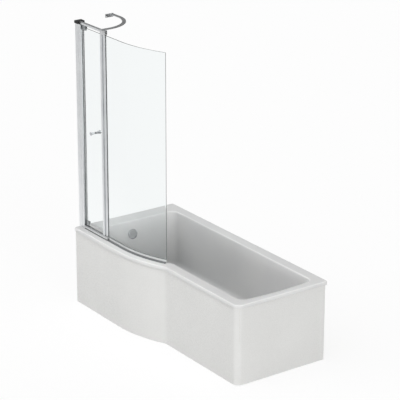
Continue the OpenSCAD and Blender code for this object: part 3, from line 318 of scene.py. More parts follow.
def settled(source):
    """A plain mesh of what an object's modifiers make; the object goes."""
    graph = bpy.context.evaluated_depsgraph_get()
    mesh = bpy.data.meshes.new_from_object(source.evaluated_get(graph))
    bpy.data.objects.remove(source)
    return mesh


def bored(form, holes):
    """The form with round holes cut through it: each hole is (middle, axis, radius, half length)."""
    blank, bits = shown("blank", mended(mesh_of(form))), []
    # an empty slot for each finish keeps the faces' numbers through the cut
    while len(blank.data.materials) <= max(form.finish):
        blank.data.materials.append(None)
    for at, axis, r, half in holes:
        bit = Form().turned([(0, -half), (r, -half), (r, half), (0, half)], at, axis, 96)
        bits.append(shown("bit", mended(mesh_of(bit))))
        bore = blank.modifiers.new("bore", "BOOLEAN")
        bore.object, bore.operation, bore.solver = bits[-1], "DIFFERENCE", "EXACT"
    mesh = settled(blank)
    for bit in bits:
        bpy.data.objects.remove(bit)
    return mesh


def limits(node):
    """A CAD node's low and high corners in millimetres."""
    return [Vector(c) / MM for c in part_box(node)]


def carried(node, look):
    """A CAD node whose shape is right, its loose triangles joined and its round faces smooth."""
    mesh = frame["nodes"][node].data.copy()
    bm = bmesh.new()
    bm.from_mesh(mesh)
    bmesh.ops.remove_doubles(bm, verts=bm.verts, dist=1e-6)
    bmesh.ops.dissolve_limit(bm, angle_limit=math.radians(0.5), verts=bm.verts, edges=bm.edges)
    bm.to_mesh(mesh)
    bm.free()
    piece(node + "_smooth", mesh, [look], node)


# ---- finishes ----

def srgb(code):
    """A hex colour turned to the linear values that the shaders take."""
    parts = [int(code[k : k + 2], 16) / 255 for k in (1, 3, 5)]
    return tuple(c / 12.92 if c <= 0.04045 else ((c + 0.055) / 1.055) ** 2.4 for c in parts) + (1,)


def add(tree, kind, inputs=(), **settings):
    """Adds one node with its settings and gives its outputs. The inputs are named, or in their order; each is
    a plain value, a socket that it is linked from, or a list of such sockets."""
    node = tree.nodes.new(kind)
    for name, value in settings.items():
        setattr(node, name, value)
    for key, value in inputs.items() if isinstance(inputs, dict) else enumerate(inputs):
        for one in value if isinstance(value, list) else [value]:
            if isinstance(one, bpy.types.NodeSocket):
                tree.links.new(one, node.inputs[key])
            else:
                node.inputs[key].default_value = one
    return node.outputs


def finish(name, colour, **plain):
    """A material with its tree, its Principled shader and the piece's own coordinates."""
    made = bpy.data.materials.new(name)
    made.use_nodes = True
    tree = made.node_tree
    shader = tree.nodes["Principled BSDF"]
    shader.inputs["Base Color"].default_value = srgb(colour)
    for key, value in plain.items():
        shader.inputs[key.replace("_", " ")].default_value = value
    return made, tree, shader, add(tree, "ShaderNodeTexCoord")["Object"]


def shade(tree, fac, low, high, a=0.0, b=1.0):
    """A colour between two hex values as fac goes from a to b."""
    ramp = span(tree, fac, 0.0, 1.0, a, b)
    return add(tree, "ShaderNodeMix", {0: ramp, 6: srgb(low), 7: srgb(high)}, data_type="RGBA")[2]


def span(tree, fac, low, high, a=0.3, b=0.7, **settings):
    """A number between low and high as fac goes from a to b."""
    ends = {"Value": fac, "From Min": a, "From Max": b, "To Min": low, "To Max": high}
    return add(tree, "ShaderNodeMapRange", ends, clamp=True, **settings)[0]


def grainy(tree, place, size, stretch=(1, 1, 1), detail=3, rough=0.5):
    """Noise whose grains are size millimetres, drawn out by stretch along x, y and z."""
    mapped = add(tree, "ShaderNodeMapping", {"Vector": place, "Scale": tuple(1 / s for s in stretch)})[0]
    grains = {"Vector": mapped, "Scale": 1000 / size, "Detail": detail, "Roughness": rough}
    return add(tree, "ShaderNodeTexNoise", grains)[0]


def cells(tree, place, size):
    """A number for each cell of a pattern whose cells are size millimetres."""
    colour = add(tree, "ShaderNodeTexVoronoi", {"Vector": place, "Scale": 1000 / size})["Color"]
    return add(tree, "ShaderNodeSeparateColor", {"Color": colour})[0]


def bump(tree, shader, height, depth, strength=1.0):
    """Relief of depth millimetres from a height of 0 to 1."""
    relief = {"Height": height, "Distance": depth * MM, "Strength": strength}
    tree.links.new(add(tree, "ShaderNodeBump", relief)[0], shader.inputs["Normal"])


def feed(tree, shader, tone, roughness):
    """Links the two looks that change over a surface: its colour and how rough it is."""
    tree.links.new(tone, shader.inputs["Base Color"])
    tree.links.new(roughness, shader.inputs["Roughness"])


def instead(tree, shader, ray, other):
    """Lets the rays of one kind meet another shader in place of the material's own."""
    chosen = add(tree, "ShaderNodeLightPath")[ray]
    both = add(tree, "ShaderNodeMixShader", (chosen, shader.outputs[0], other))[0]
    tree.links.new(both, tree.nodes["Material Output"].inputs["Surface"])


def moulded_acrylic():
    # Vacuum-formed sanitary acrylic: a deep, even gloss over white, with the faint slow ripple of a formed
    # sheet. To light scattered by its neighbours it is a darker, plain grey: painted shade, which keeps the
    # basin's inside darker.
    made, tree, shader, place = finish("moulded_acrylic_white", "#E9E9E9", IOR=1.49)
    # painted shade: a darker grey for light bounced between the basin's walls
    painted_shade_bounce = add(tree, "ShaderNodeBsdfDiffuse", {"Color": srgb("#989898")})[0]
    ripple = grainy(tree, place, 45, detail=1)
    cloud = grainy(tree, place, 260, detail=2)
    wiped = grainy(tree, place, 70, (3, 1, 1), 4)
    feed(tree, shader, shade(tree, cloud, "#E8E8E8", "#ECECEB", 0.35, 0.65), span(tree, wiped, 0.10, 0.17))
    bump(tree, shader, ripple, 0.05, 0.5)
    instead(tree, shader, "Is Diffuse Ray", painted_shade_bounce)
    return made


def resin_backing():
    # Sprayed resin and chopped glass on the tub's back: dull cream, with strands lying every way.
    made, tree, shader, place = finish("glass_resin_backing", "#D5CCB4", IOR=1.52)
    lying = grainy(tree, place, 9, (7, 1, 1), 4), grainy(tree, place, 9, (1, 7, 1), 4)
    strands = add(tree, "ShaderNodeMath", lying, operation="MAXIMUM")[0]
    feed(tree, shader, shade(tree, strands, "#B9AE92", "#E3DCC8", 0.4, 0.75), span(tree, strands, 0.75, 0.45))
    bump(tree, shader, strands, 0.8, 0.8)
    return made


def pressed_panel():
    # Thermoformed panel sheet: white, a shade softer in gloss than the tub, with a fine even peel.
    made, tree, shader, place = finish("formed_panel_white", "#EBEBE9", IOR=1.49)
    peel = grainy(tree, place, 3, detail=2)
    cloud = grainy(tree, place, 320, detail=2)
    feed(tree, shader, shade(tree, cloud, "#EAEAE8", "#EDEDEB", 0.35, 0.65), span(tree, peel, 0.24, 0.32))
    bump(tree, shader, peel, 0.012, 0.25)
    return made


def chipboard():
    # Chipboard under the tub: pale brown chips of 2 to 8 mm, pressed flat, some dark.
    made, tree, shader, place = finish("pressed_chipboard", "#BFA27A", IOR=1.5)
    pressed = add(tree, "ShaderNodeMapping", {"Vector": place, "Scale": (0.6, 1, 1)})[0]
    dust = grainy(tree, place, 1.5)
    chips = add(tree, "ShaderNodeMath", (cells(tree, pressed, 5), dust), operation="MULTIPLY")[0]
    feed(tree, shader, shade(tree, chips, "#8E6B45", "#D6BB92", 0.05, 0.6), span(tree, dust, 0.7, 0.9))
    bump(tree, shader, chips, 0.3, 0.6)
    return made


def planed_softwood(name, stretch):
    # Planed pine battens: straw-coloured, with darker growth lines drawn out along the length.
    made, tree, shader, place = finish(name, "#D9BE8E", IOR=1.5)
    lines = grainy(tree, place, 4, stretch, 4, 0.6)
    pores = grainy(tree, place, 0.8, stretch, 2)
    feed(tree, shader, shade(tree, lines, "#B98A52", "#E6D0A4", 0.35, 0.62), span(tree, pores, 0.55, 0.75))
    bump(tree, shader, pores, 0.15, 0.5)
    return made


def zinc_plate():
    # Zinc-plated steel: cool grey metal with a faint mottled bloom over 8 mm patches.
    made, tree, shader, place = finish("zinc_plated_steel", "#B4B8BC", Metallic=1.0)
    bloom = grainy(tree, place, 14, detail=4)
    patches = cells(tree, place, 8)
    feed(tree, shader, shade(tree, patches, "#A6ABB0", "#BDC1C3"), span(tree, bloom, 0.28, 0.48))
    bump(tree, shader, bloom, 0.03, 0.4)
    return made


def moulded_plastic(name, low, high, roughness, grain=0.9):
    # Moulded plastic or rubber: even colour, a fine spark-eroded grain, slight flow clouds.
    made, tree, shader, place = finish(name, high, IOR=1.5)
    pits = grainy(tree, place, grain, detail=2)
    cloud = grainy(tree, place, 40, detail=2)
    rough = span(tree, pits, roughness - 0.05, roughness + 0.07)
    feed(tree, shader, shade(tree, cloud, low, high, 0.3, 0.7), rough)
    bump(tree, shader, pits, 0.03, 0.6)
    return made


def bright_chrome():
    # Chrome plate on brass: a clean mirror, barely clouded by wiping.
    made, tree, shader, place = finish("bright_chrome_plate", "#D4D6D9", Metallic=1.0)
    wiped = grainy(tree, place, 9, (1, 1, 2), 4)
    feed(tree, shader, shade(tree, wiped, "#CED1D4", "#D9DBDD", 0.3, 0.7), span(tree, wiped, 0.05, 0.11))
    return made


def turned_brass():
    # Bare turned brass, where the cone of the stud shows: warm metal with fine tool rings.
    made, tree, shader, place = finish("turned_brass", "#C6A35C", Metallic=1.0)
    rings = grainy(tree, place, 0.6, (8, 1, 8), 2)
    tree.links.new(span(tree, rings, 0.18, 0.34), shader.inputs["Roughness"])
    bump(tree, shader, rings, 0.02, 0.5)
    return made


def bright_anodised(name, stretch, low="#E4E6E8", high="#EEF0F1"):
    # Bright-anodised extruded aluminium: light grey metal, with die lines of about 0.5 mm along the bar,
    # drawn 1.2 mm wide so that they show.
    made, tree, shader, place = finish(name, high, Metallic=1.0)
    lines = grainy(tree, place, 1.2, stretch, 3, 0.6)
    cloud = grainy(tree, place, 120, detail=2)
    tone = add(tree, "ShaderNodeMath", (lines, cloud), operation="ADD")[0]
    feed(tree, shader, shade(tree, tone, low, high, 0.8, 1.2), span(tree, lines, 0.25, 0.33))
    bump(tree, shader, lines, 0.005, 0.3)
    return made


def cast_fitting(name, low, high):
    # Die-cast zinc fittings in satin plate: a little darker and softer than the bars, with a fine cast skin.
    made, tree, shader, place = finish(name, high, Metallic=1.0)
    skin = grainy(tree, place, 1.6)
    cloud = grainy(tree, place, 18, detail=2)
    feed(tree, shader, shade(tree, cloud, low, high, 0.3, 0.7), span(tree, skin, 0.34, 0.46))
    bump(tree, shader, skin, 0.03, 0.4)
    return made


def soft_clear_seal():
    # Extruded soft PVC seal: milky and half clear, so that what lies behind it shows as a blur.
    milky = "#DEE0DF"
    made, tree, shader, place = finish("clear_seal_soft_pvc", milky, IOR=1.46, Transmission_Weight=0.2)
    haze = grainy(tree, place, 14, detail=2)
    feed(tree, shader, shade(tree, haze, milky, "#E9EAEA", 0.3, 0.9), span(tree, haze, 0.29, 0.41))
    return made


def toughened_glass(name, colour, roughness=0.0):
    # Toughened float glass: clear, faintly cool; lamps shine through it, so it throws hardly any shadow.
    plain = {"IOR": 1.5, "Transmission_Weight": 1.0, "Roughness": roughness}
    made, tree, shader, place = finish(name, colour, **plain)
    bump(tree, shader, grainy(tree, place, 180, (1, 1, 3), 1), 0.03, 0.12)
    through = add(tree, "ShaderNodeBsdfTransparent", {"Color": srgb("#F6F9FA")})[0]
    instead(tree, shader, "Is Shadow Ray", through)
    return made


# ---- what repeats or follows a path is grown by Geometry Nodes ----

CUT = {"operation": "DIFFERENCE", "solver": "EXACT"}
COMMON = {"operation": "INTERSECT", "solver": "EXACT"}


def sized_tree(name, sizes):
    """A tree with its geometry sockets and its sizes as named inputs."""
    tree = bpy.data.node_groups.new(name, "GeometryNodeTree")
    tree.interface.new_socket("Geometry", in_out="INPUT", socket_type="NodeSocketGeometry")
    for size in sizes:
        tree.interface.new_socket(size, in_out="INPUT", socket_type="NodeSocketFloat")
    tree.interface.new_socket("Geometry", in_out="OUTPUT", socket_type="NodeSocketGeometry")
    return tree, add(tree, "NodeGroupInput")


def shares(tree, size, *factors):
    """A size times each of the factors."""
    return [add(tree, "ShaderNodeMath", (size, f), operation="MULTIPLY")[0] for f in factors]


def lifted(tree, made, z):
    """What was made, moved up by z."""
    place = add(tree, "ShaderNodeCombineXYZ", {"Z": z})[0]
    return add(tree, "GeometryNodeTransform", {"Geometry": made, "Translation": place})[0]


def cone(tree, bottom, top, depth, z=0.0, sides=32):
    """A closed cone or cylinder that stands on height z."""
    sizes = {"Vertices": sides, "Radius Top": top, "Radius Bottom": bottom, "Depth": depth}
    return lifted(tree, add(tree, "GeometryNodeMeshCone", sizes)[0], z)


def thread(tree, core, depth, length, pitch, z=0.0):
    """A thread's ridge wound round a core."""
    turns = add(tree, "ShaderNodeMath", (length, pitch), operation="DIVIDE")[0]
    winding = {"Start Radius": core, "End Radius": core, "Height": length, "Rotations": turns}
    winding = add(tree, "GeometryNodeCurveSpiral", {"Resolution": 14, **winding})[0]
    ridge = add(tree, "GeometryNodeCurvePrimitiveCircle", {"Resolution": 3, "Radius": depth})[0]
    ridge = {"Curve": winding, "Profile Curve": ridge, "Fill Caps": True}
    return lifted(tree, add(tree, "GeometryNodeCurveToMesh", ridge)[0], z)


def placed(tree, size, parts, look):
    """Ends a tree: one of what the parts make together at each point, along the point's own direction."""
    made = add(tree, "GeometryNodeJoinGeometry", {0: parts})[0]
    along = add(tree, "GeometryNodeInputNamedAttribute", {"Name": "along"}, data_type="FLOAT_VECTOR")[0]
    turned = add(tree, "FunctionNodeAlignRotationToVector", {"Vector": along}, axis="Z")[0]
    many = {"Points": size["Geometry"], "Instance": made, "Rotation": turned}
    return ended(tree, add(tree, "GeometryNodeInstanceOnPoints", many)[0], look)


def ended(tree, made, look):
    """Ends a tree with plain geometry in one finish."""
    made = add(tree, "GeometryNodeRealizeInstances", {"Geometry": made})[0]
    made = add(tree, "GeometryNodeSetMaterial", {"Geometry": made, "Material": look})[0]
    add(tree, "NodeGroupOutput", (made,))
    return tree


def screw_tree(look):
    """A screw with a chamfered head, a cross recess, a wound thread and a point, its seat at the origin."""
    tree, size = sized_tree("cross_head_screw", ("Head radius", "Head height", "Radius", "Length", "Pitch"))
    head_r = size["Head radius"]
    crown_r, long, narrow = shares(tree, head_r, 0.72, 1.1, 0.24)
    half, middle, top, recess = shares(tree, size["Head height"], 0.5, -0.5, -1.0, 0.8)
    core, tip, ridge = shares(tree, size["Radius"], 0.8, 0.1, 0.2)
    body, taper = shares(tree, size["Length"], 0.82, 0.18)
    cross = []
    for x, y in ((long, narrow), (narrow, long)):
        sides = add(tree, "ShaderNodeCombineXYZ", (x, y, recess))[0]
        cross.append(lifted(tree, add(tree, "GeometryNodeMeshCube", {"Size": sides})[0], top))
    crown = cone(tree, crown_r, head_r, half, top)
    return placed(tree, size, [
        cone(tree, head_r, head_r, half, middle),
        add(tree, "GeometryNodeMeshBoolean", {"Mesh 1": crown, "Mesh 2": cross}, **CUT)[0],
        cone(tree, core, core, body),
        cone(tree, core, tip, taper, body),
        thread(tree, core, ridge, body, size["Pitch"]),
    ], look)


def stud_tree(look):
    """A threaded stud with bevelled ends, its foot at the origin."""
    tree, size = sized_tree("threaded_stud", ("Radius", "Length", "Pitch"))
    core, bevel, end, ridge = shares(tree, size["Radius"], 0.86, 0.3, 0.6, 0.14)
    middle = add(tree, "ShaderNodeMath", (size["Length"], end), operation="SUBTRACT")[0]
    top = add(tree, "ShaderNodeMath", (size["Length"], bevel), operation="SUBTRACT")[0]
    return placed(tree, size, [
        cone(tree, end, core, bevel),
        cone(tree, core, core, middle, bevel),
        cone(tree, core, end, bevel, top),
        thread(tree, core, ridge, middle, size["Pitch"], bevel),
    ], look)


def nut_tree(look):
    """A hexagon nut, its corners chamfered at both faces, its middle at the origin."""
    tree, size = sized_tree("hexagon_nut", ("Across corners", "Height", "Bore"))
    h, bore = size["Height"], size["Bore"]
    r, narrow = shares(tree, size["Across corners"], 0.5, 0.5 * 0.89)
    low, flare, through, under = shares(tree, h, -0.5, 1.7, 1.4, -0.7)
    wide = add(tree, "ShaderNodeMath", (narrow, flare), operation="ADD")[0]
    block = [cone(tree, r, r, h, low, 6)]
    block += [cone(tree, a, b, h, low, 48) for a, b in ((narrow, wide), (wide, narrow))]
    block = add(tree, "GeometryNodeMeshBoolean", {"Mesh 2": block}, **COMMON)[0]
    block = {"Mesh 1": block, "Mesh 2": cone(tree, bore, bore, through, under)}
    return placed(tree, size, [add(tree, "GeometryNodeMeshBoolean", block, **CUT)[0]], look)


def foot_tree(look):
    """A levelling foot: a bevelled pad with a tapered hub that holds the stud."""
    sizes = "Pad radius", "Pad height", "Hub radius", "Hub height", "Bore"
    tree, size = sized_tree("levelling_foot", sizes)
    r, h, hub, top, bore = (size[name] for name in sizes)
    lower, slope = shares(tree, h, 0.6, 0.4)
    rise = add(tree, "ShaderNodeMath", (top, h), operation="SUBTRACT")[0]
    above = add(tree, "ShaderNodeMath", (h, MM), operation="ADD")[0]
    tower = cone(tree, hub, shares(tree, hub, 0.84)[0], rise, h, 12)
    tower = {"Mesh 1": tower, "Mesh 2": cone(tree, bore, bore, shares(tree, rise, 1.2)[0], above)}
    return placed(tree, size, [
        cone(tree, r, r, lower, 0.0, 48),
        cone(tree, r, shares(tree, r, 0.86)[0], slope, lower, 48),
        add(tree, "GeometryNodeMeshBoolean", tower, **CUT)[0],
    ], look)


def hose_tree(look):
    """A hose along a path, its skin rising and falling by one rib in each pitch."""
    tree, size = sized_tree("ribbed_hose", ("Radius", "Rib", "Pitch"))
    path = add(tree, "GeometryNodeMeshToCurve", {"Mesh": size["Geometry"]})[0]
    step = add(tree, "ShaderNodeMath", (size["Pitch"], 6.0), operation="DIVIDE")[0]
    path = add(tree, "GeometryNodeResampleCurve", {"Curve": path, "Length": step}, mode="LENGTH")[0]
    along = add(tree, "GeometryNodeSplineParameter")["Length"]
    ribs = add(tree, "ShaderNodeMath", (along, size["Pitch"]), operation="DIVIDE")[0]
    wave = add(tree, "ShaderNodeMath", shares(tree, ribs, 2 * math.pi), operation="COSINE")[0]
    height = add(tree, "ShaderNodeMath", (size["Rib"], size["Radius"]), operation="DIVIDE")[0]
    swell = add(tree, "ShaderNodeMath", (wave, height, 1.0), operation="MULTIPLY_ADD")[0]
    skin = add(tree, "GeometryNodeCurvePrimitiveCircle", {"Resolution": 28, "Radius": size["Radius"]})[0]
    skin = {"Curve": path, "Profile Curve": skin, "Scale": swell, "Fill Caps": True}
    return ended(tree, add(tree, "GeometryNodeCurveToMesh", skin)[0], look)


def strip_tree(look):
    """A flat strip with rounded edges that follows a level path."""
    tree, size = sized_tree("flat_strip", ("Width", "Thickness", "Rounding"))
    path = add(tree, "GeometryNodeMeshToCurve", {"Mesh": size["Geometry"]})[0]
    path = add(tree, "GeometryNodeSetCurveNormal", {"Curve": path}, mode="Z_UP")[0]
    face = {"Width": size["Width"], "Height": size["Thickness"]}
    face = add(tree, "GeometryNodeCurvePrimitiveQuadrilateral", face, mode="RECTANGLE")[0]
    face = {"Curve": face, "Count": 4, "Radius": size["Rounding"]}
    face = add(tree, "GeometryNodeFilletCurve", face, mode="POLY")[0]
    strip = {"Curve": path, "Profile Curve": face, "Fill Caps": True}
    return ended(tree, add(tree, "GeometryNodeCurveToMesh", strip)[0], look)


def grown(name, tree, points, sizes, along=None):
    """A plain mesh grown by a tree: at each of the points, or along them as a path. Sizes in millimetres."""
    mesh = bpy.data.meshes.new(name)
    edges = [] if along else [(k, k + 1) for k in range(len(points) - 1)]
    mesh.from_pydata([tuple(c * MM for c in p) for p in points], edges, [])
    if along:
        ways = mesh.attributes.new("along", "FLOAT_VECTOR", "POINT")
        ways.data.foreach_set("vector", list(along) * len(points))
    seed = shown(name, mesh)
    growth = seed.modifiers.new(name, "NODES")
    growth.node_group = tree
    for socket in tree.interface.items_tree:
        if socket.in_out == "INPUT" and socket.name in sizes:
            growth[socket.identifier] = sizes[socket.name] * MM
    return settled(seed)


def solids_of(node):
    """The low and high corners, in millimetres, of each separate solid of a CAD node."""
    bm = bmesh.new()
    bm.from_mesh(frame["nodes"][node].data)
    bmesh.ops.remove_doubles(bm, verts=bm.verts, dist=1e-6)
    left, found = set(bm.verts), []
    while left:
        stack, island = [left.pop()], []
        while stack:
            vert = stack.pop()
            island.append(vert.co / MM)
            near = {edge.other_vert(vert) for edge in vert.link_edges} & left
            left -= near
            stack += near
        found.append((Vector([min(c) for c in zip(*island)]), Vector([max(c) for c in zip(*island)])))
    bm.free()
    return sorted(found, key=lambda box: tuple(round(c, 2) for c in box[0]))


ACRYLIC = moulded_acrylic()
RESIN = resin_backing()
PANEL = pressed_panel()
BOARD = chipboard()
PINE_ALONG_X = planed_softwood("planed_softwood_front", (14, 1, 1))
PINE_ALONG_Y = planed_softwood("planed_softwood_end", (1, 14, 1))
ZINC = zinc_plate()
GREY_PLASTIC = moulded_plastic("moulded_polypropylene_grey", "#83888B", "#8F9496", 0.45)
RUBBER = moulded_plastic("soft_rubber_dark", "#262728", "#313233", 0.68, 0.6)
RUBBER_GREY = moulded_plastic("soft_rubber_grey", "#565859", "#626465", 0.6, 0.6)
CABLE_SLEEVE = moulded_plastic("cable_sleeve_black", "#191A1B", "#232425", 0.42, 1.2)
CAP_PLASTIC = moulded_plastic("moulded_cap_black", "#161718", "#1E1F20", 0.6, 0.7)
CHROME = bright_chrome()
BRASS = turned_brass()
BAR_UP = bright_anodised("bright_anodised_upright", (1, 1, 60))
BAR_ACROSS = bright_anodised("bright_anodised_rail", (60, 1, 1))
# the brace arm's strip: the same anodised metal in darker colours, painted shade for its top face
BAR_BENT_SHADED = bright_anodised("bright_anodised_strip_painted_shade", (2, 2, 1), "#D6D8DA", "#DFE1E2")
CAST = cast_fitting("satin_cast_fitting", "#DDDFE0", "#E8E9EA")
# painted shade: the same satin cast fitting, much darker, so that the door's clamps read as shaded
CAST_CLAMP_SHADED = cast_fitting("satin_cast_clamp_painted_shade", "#A3A6A8", "#AEB1B2")
SEAL = soft_clear_seal()
# painted shade: a grey for the curved seal's lips and the jamb's seal, standing in for the shade line under
# the seal and the shaded band beside the jamb
SEAL_LIP_SHADED = moulded_plastic("seal_lip_painted_shade_grey", "#6A6D6E", "#757879", 0.5, 0.8)
NYLON = moulded_plastic("moulded_nylon_natural", "#DEDCD3", "#E6E4DB", 0.4, 1.0)
GLASS = toughened_glass("toughened_glass_clear", "#F8FBFB")
GLASS_EDGE = toughened_glass("toughened_glass_edge", "#B9CCC6", 0.25)


# ---- tub ----

# the steps in the straight after each stretch of the basin's and the bath's outline
OUTLINE_STEPS = (6, 0, 16, 0, 0, 30, 12)


def basin_ring(z, side, head, out=0):
    """The basin's outline at height z, its walls drawn in by side and its head end by head; out moves the
    whole line outwards."""
    r = BASIN_RIM_CORNER + (BASIN_CORNER - BASIN_RIM_CORNER) * min(1, (RIM - z) / WALL_H)
    x0, x1 = BASIN_X0 + side + r, BASIN_X1 - head - r
    yw, y0, y1 = BASIN_YW + side + r, BASIN_Y0 + side + r, BASIN_Y1 - side - r
    mid, half = (y0 + y1) / 2, (y1 - y0) / 2
    bow = (half**2 + HEAD_BOW**2) / (2 * HEAD_BOW)
    turn = math.degrees(math.asin(half / bow))
    ring = chain([
        arc(x0, yw, r + out, 180, 270, 14),
        arc(SWELL_X, SWELL_Y, SWELL_R - FRONT_RIM - side + out, 270, 270 + SWELL_A, 40),
        arc(BLEND_X, BLEND_Y, BLEND_R + FRONT_RIM + side - out, 90 + SWELL_A, 90, 12),
        arc(x1 - HEAD_BOW, y0, r + out, 270, 360 - turn, 14),
        arc(x1 - bow, mid, bow + r + out, -turn, turn, 16),
        arc(x1 - HEAD_BOW, y1, r + out, turn, 90, 14),
        arc(x0, y1, r + out, 90, 180, 14),
    ], OUTLINE_STEPS)
    return [(x, y, z) for x, y in ring]


def outline_ring(z, d):
    """The bath's own outline at height z, drawn in by d, with a point for each of the basin's."""
    w, o = max(1, WALL_CORNER_R - d), max(1, CORNER_R - d)
    x0, x1, y0, y1 = X0 + d + w, X1 - d, Y_NARROW + d + o, Y_BACK - d - w
    ring = chain([
        arc(x0, Y_WIDE + d + w, w, 180, 270, 14),
        arc(SWELL_X, SWELL_Y, SWELL_R - d, 270, 270 + SWELL_A, 40),
        arc(BLEND_X, BLEND_Y, BLEND_R + d, 90 + SWELL_A, 90, 12),
        arc(x1 - o, y0, o, 270, 360, 14),
        straight((x1, y0), (x1, y1), 16) + [(x1, y1)],
        arc(x1 - w, y1, w, 0, 90, 14),
        arc(x0, y1, w, 90, 180, 14),
    ], OUTLINE_STEPS)
    return [(x, y, z) for x, y in ring]


def between(a, b, t):
    """The ring that lies the share t of the way from one ring to another."""
    return [tuple(p + (q - p) * t for p, q in zip(u, v)) for u, v in zip(a, b)]


# A wall leans in on a line that meets the rounding of the floor where both have one slope: the side walls
# at SIDE_MEETS degrees of the rounding, the head wall at HEAD_MEETS. The levels above are evenly spaced.
SIDE_SLOPE, HEAD_SLOPE, SIDE_MEETS, HEAD_MEETS = 0.1239, 0.4476, 8.2, 27.6
WALL_FOOT, WALL_TOP, WALL_STEPS = 210, 531, 7
# the radius of the rim's inner edge, how far outside the basin's line its middle lies, and the outer edge's
INNER_R, INNER_MID, OUTER_R = 8, 7.06, 6


def wall_levels(down=0):
    """Height, side and head draw-in of the basin's levels, floor to rim; down lowers the rounding for the
    shell's other face."""
    levels = []
    for a in (90, 84, 77, 70, 63, 56, 49, 42, 35, HEAD_MEETS, 21, 14, SIDE_MEETS):
        s, c = math.sin(math.radians(a)), math.cos(math.radians(a))
        z = FLOOR + ROUND_H * (1 - s)
        head = HEAD_LEAN + ROUND_W * (1 - c) if a >= HEAD_MEETS else HEAD_SLOPE * (RIM - z)
        levels.append((z - down * s, SIDE_LEAN + ROUND_W * (1 - c), head))
    for k in range(1, WALL_STEPS + 1):
        z = WALL_FOOT + (WALL_TOP - WALL_FOOT) * k / WALL_STEPS
        levels.append((z, SIDE_SLOPE * (RIM - z), HEAD_SLOPE * (RIM - z)))
    return levels


def tub_form():
    """The tub as one closed skin: its white face from the basin's floor to the lip's foot, then its back."""
    rings = [basin_ring(*level) for level in wall_levels()]
    for u, v in arc(0, 0, INNER_R, 20, 90, 5):
        z = RIM - INNER_R + v
        rings.append(basin_ring(z, 0, (HEAD_SLOPE - SIDE_SLOPE) * (RIM - z), INNER_MID - u))
    inner, outer = rings[-1], outline_ring(RIM, OUTER_R)
    rings += [between(inner, outer, t) for t in (0.03, 0.35, 0.65, 0.97)]
    rings += [outline_ring(RIM - OUTER_R + u, OUTER_R - v) for u, v in arc(0, 0, OUTER_R, 0, 90, 6)]
    lip = (2, 0), (1, 0.27), (0.27, 1), (0, 2), (0, 3.6), (0.5, 4.6), (1.4, 5)
    rings += [outline_ring(LIP_FOOT + h, d) for h, d in lip]
    white, under_by = len(rings) - 1, RIM - RIM_UNDER
    under = outline_ring(RIM_UNDER, 8)
    top = basin_ring(RIM_UNDER, SIDE_SLOPE * under_by, HEAD_SLOPE * under_by, SHELL_T)
    rings += [outline_ring(RIM_UNDER - h, d) for h, d in ((3, 5), (0.9, 5.9))]
    rings += [under, between(under, top, 0.5), top]
    rings += [basin_ring(*level, SHELL_T) for level in wall_levels(SHELL_T)][-2::-1]
    form = Form().loft(rings, lambda k, s: 0 if k < white else 1)
    return form.fill([rings[0]]).fill([rings[-1]], 1)


tub_mesh = bored(tub_form(), [
    ((WASTE_X, WASTE_Y, FLOOR - SHELL_T / 2), UP, 26, 8),
    (OVERFLOW, OVERFLOW_AXIS, 25, 14),
])
piece("bath_shell", tub_mesh, [ACRYLIC, RESIN], "tub", 40)


# ---- panels, and the battens and board under the tub ----

def panel_side(d, front):
    """One face of a panel in plan, d behind the lip's face, up to the seam at 60 degrees round the corner."""
    x, y, r = X1 - CORNER_R, Y_NARROW + CORNER_R, CORNER_R - d
    seam = math.degrees(math.asin(PANEL_SEAM / r))
    if not front:
        end = X1 - d, Y_BACK - WALL_CORNER_R
        return arc(x, y, r, 330 + seam, 360, 8) + straight((X1 - d, y), end, 6)[1:] + [end]
    line = straight((X0 + LIP_T + GAP, Y_WIDE + d), (SWELL_X, Y_WIDE + d), 6)
    line += arc(SWELL_X, SWELL_Y, SWELL_R - d, 270, 270 + SWELL_A, 60)[:-1]
    line += arc(BLEND_X, BLEND_Y, BLEND_R + d, 90 + SWELL_A, 90, 18)
    line += straight((BLEND_X, Y_NARROW + d), (x, Y_NARROW + d), 8)[1:]
    return line + arc(x, y, r, 270, 330 - seam, 14)


for name in ("front_panel", "end_panel"):
    outer, inner = (panel_side(d, name == "front_panel") for d in (PANEL_IN, PANEL_IN + PANEL_T))
    drawn(name + "_sheet", name, [outer + inner[::-1]], 0, PANEL_H, PANEL, edge=0.9, crease=40)

for name, look in (("baseboard", BOARD), ("end_batten", PINE_ALONG_Y)):
    low, high = limits(name)
    plan = oblong(low.x, high.x, low.y, high.y, 1.5, 3)
    drawn(name + "_sawn", name, [plan], low.z, high.z, look, edge=0.8)

low, high = limits("front_battens")
battens = Form()
for a, b, face in ((X0 + 20, SWELL_X, Y_WIDE), (BLEND_X, X1 - CORNER_R, Y_NARROW)):
    y = face + PANEL_IN + PANEL_T + GAP
    battens.extrude([oblong(y, y + BATTEN_T, low.z, high.z, 1.5, 3)], a, b, "X", 0.8)
piece("front_battens_sawn", battens, [PINE_ALONG_X], "front_battens")


# ---- screen frame ----

channel = rounded([
    (X0, FRONT_Y), (CHANNEL_X1, FRONT_Y),
    (CHANNEL_X1, FRONT_Y + BAR_WALL), (X0 + BAR_WALL, FRONT_Y + BAR_WALL),
    (X0 + BAR_WALL, BACK_Y - BAR_WALL), (CHANNEL_X1, BACK_Y - BAR_WALL),
    (CHANNEL_X1, BACK_Y), (X0, BACK_Y),
], [1.6, 0.9, 0.6, 0.5, 0.5, 0.6, 0.9, 1.6])
drawn("wall_channel_bar", "wall_channel", [channel], RIM, CHANNEL_TOP, BAR_UP)


def grooved(x_a, x_b, grooves=()):
    """A bar's outline in plan, its front face with shallow grooves at the given places."""
    line = [(x_a, FRONT_Y)]
    for x in grooves:
        line += [(x + u, FRONT_Y + deep) for u, deep in ((-1.2, 0), (-0.5, 1), (0.5, 1), (1.2, 0))]
    line += [(x_b, FRONT_Y), (x_b, BACK_Y), (x_a, BACK_Y)]
    return rounded(line, [2.2] + [0.4] * 4 * len(grooves) + [2.2] * 3)


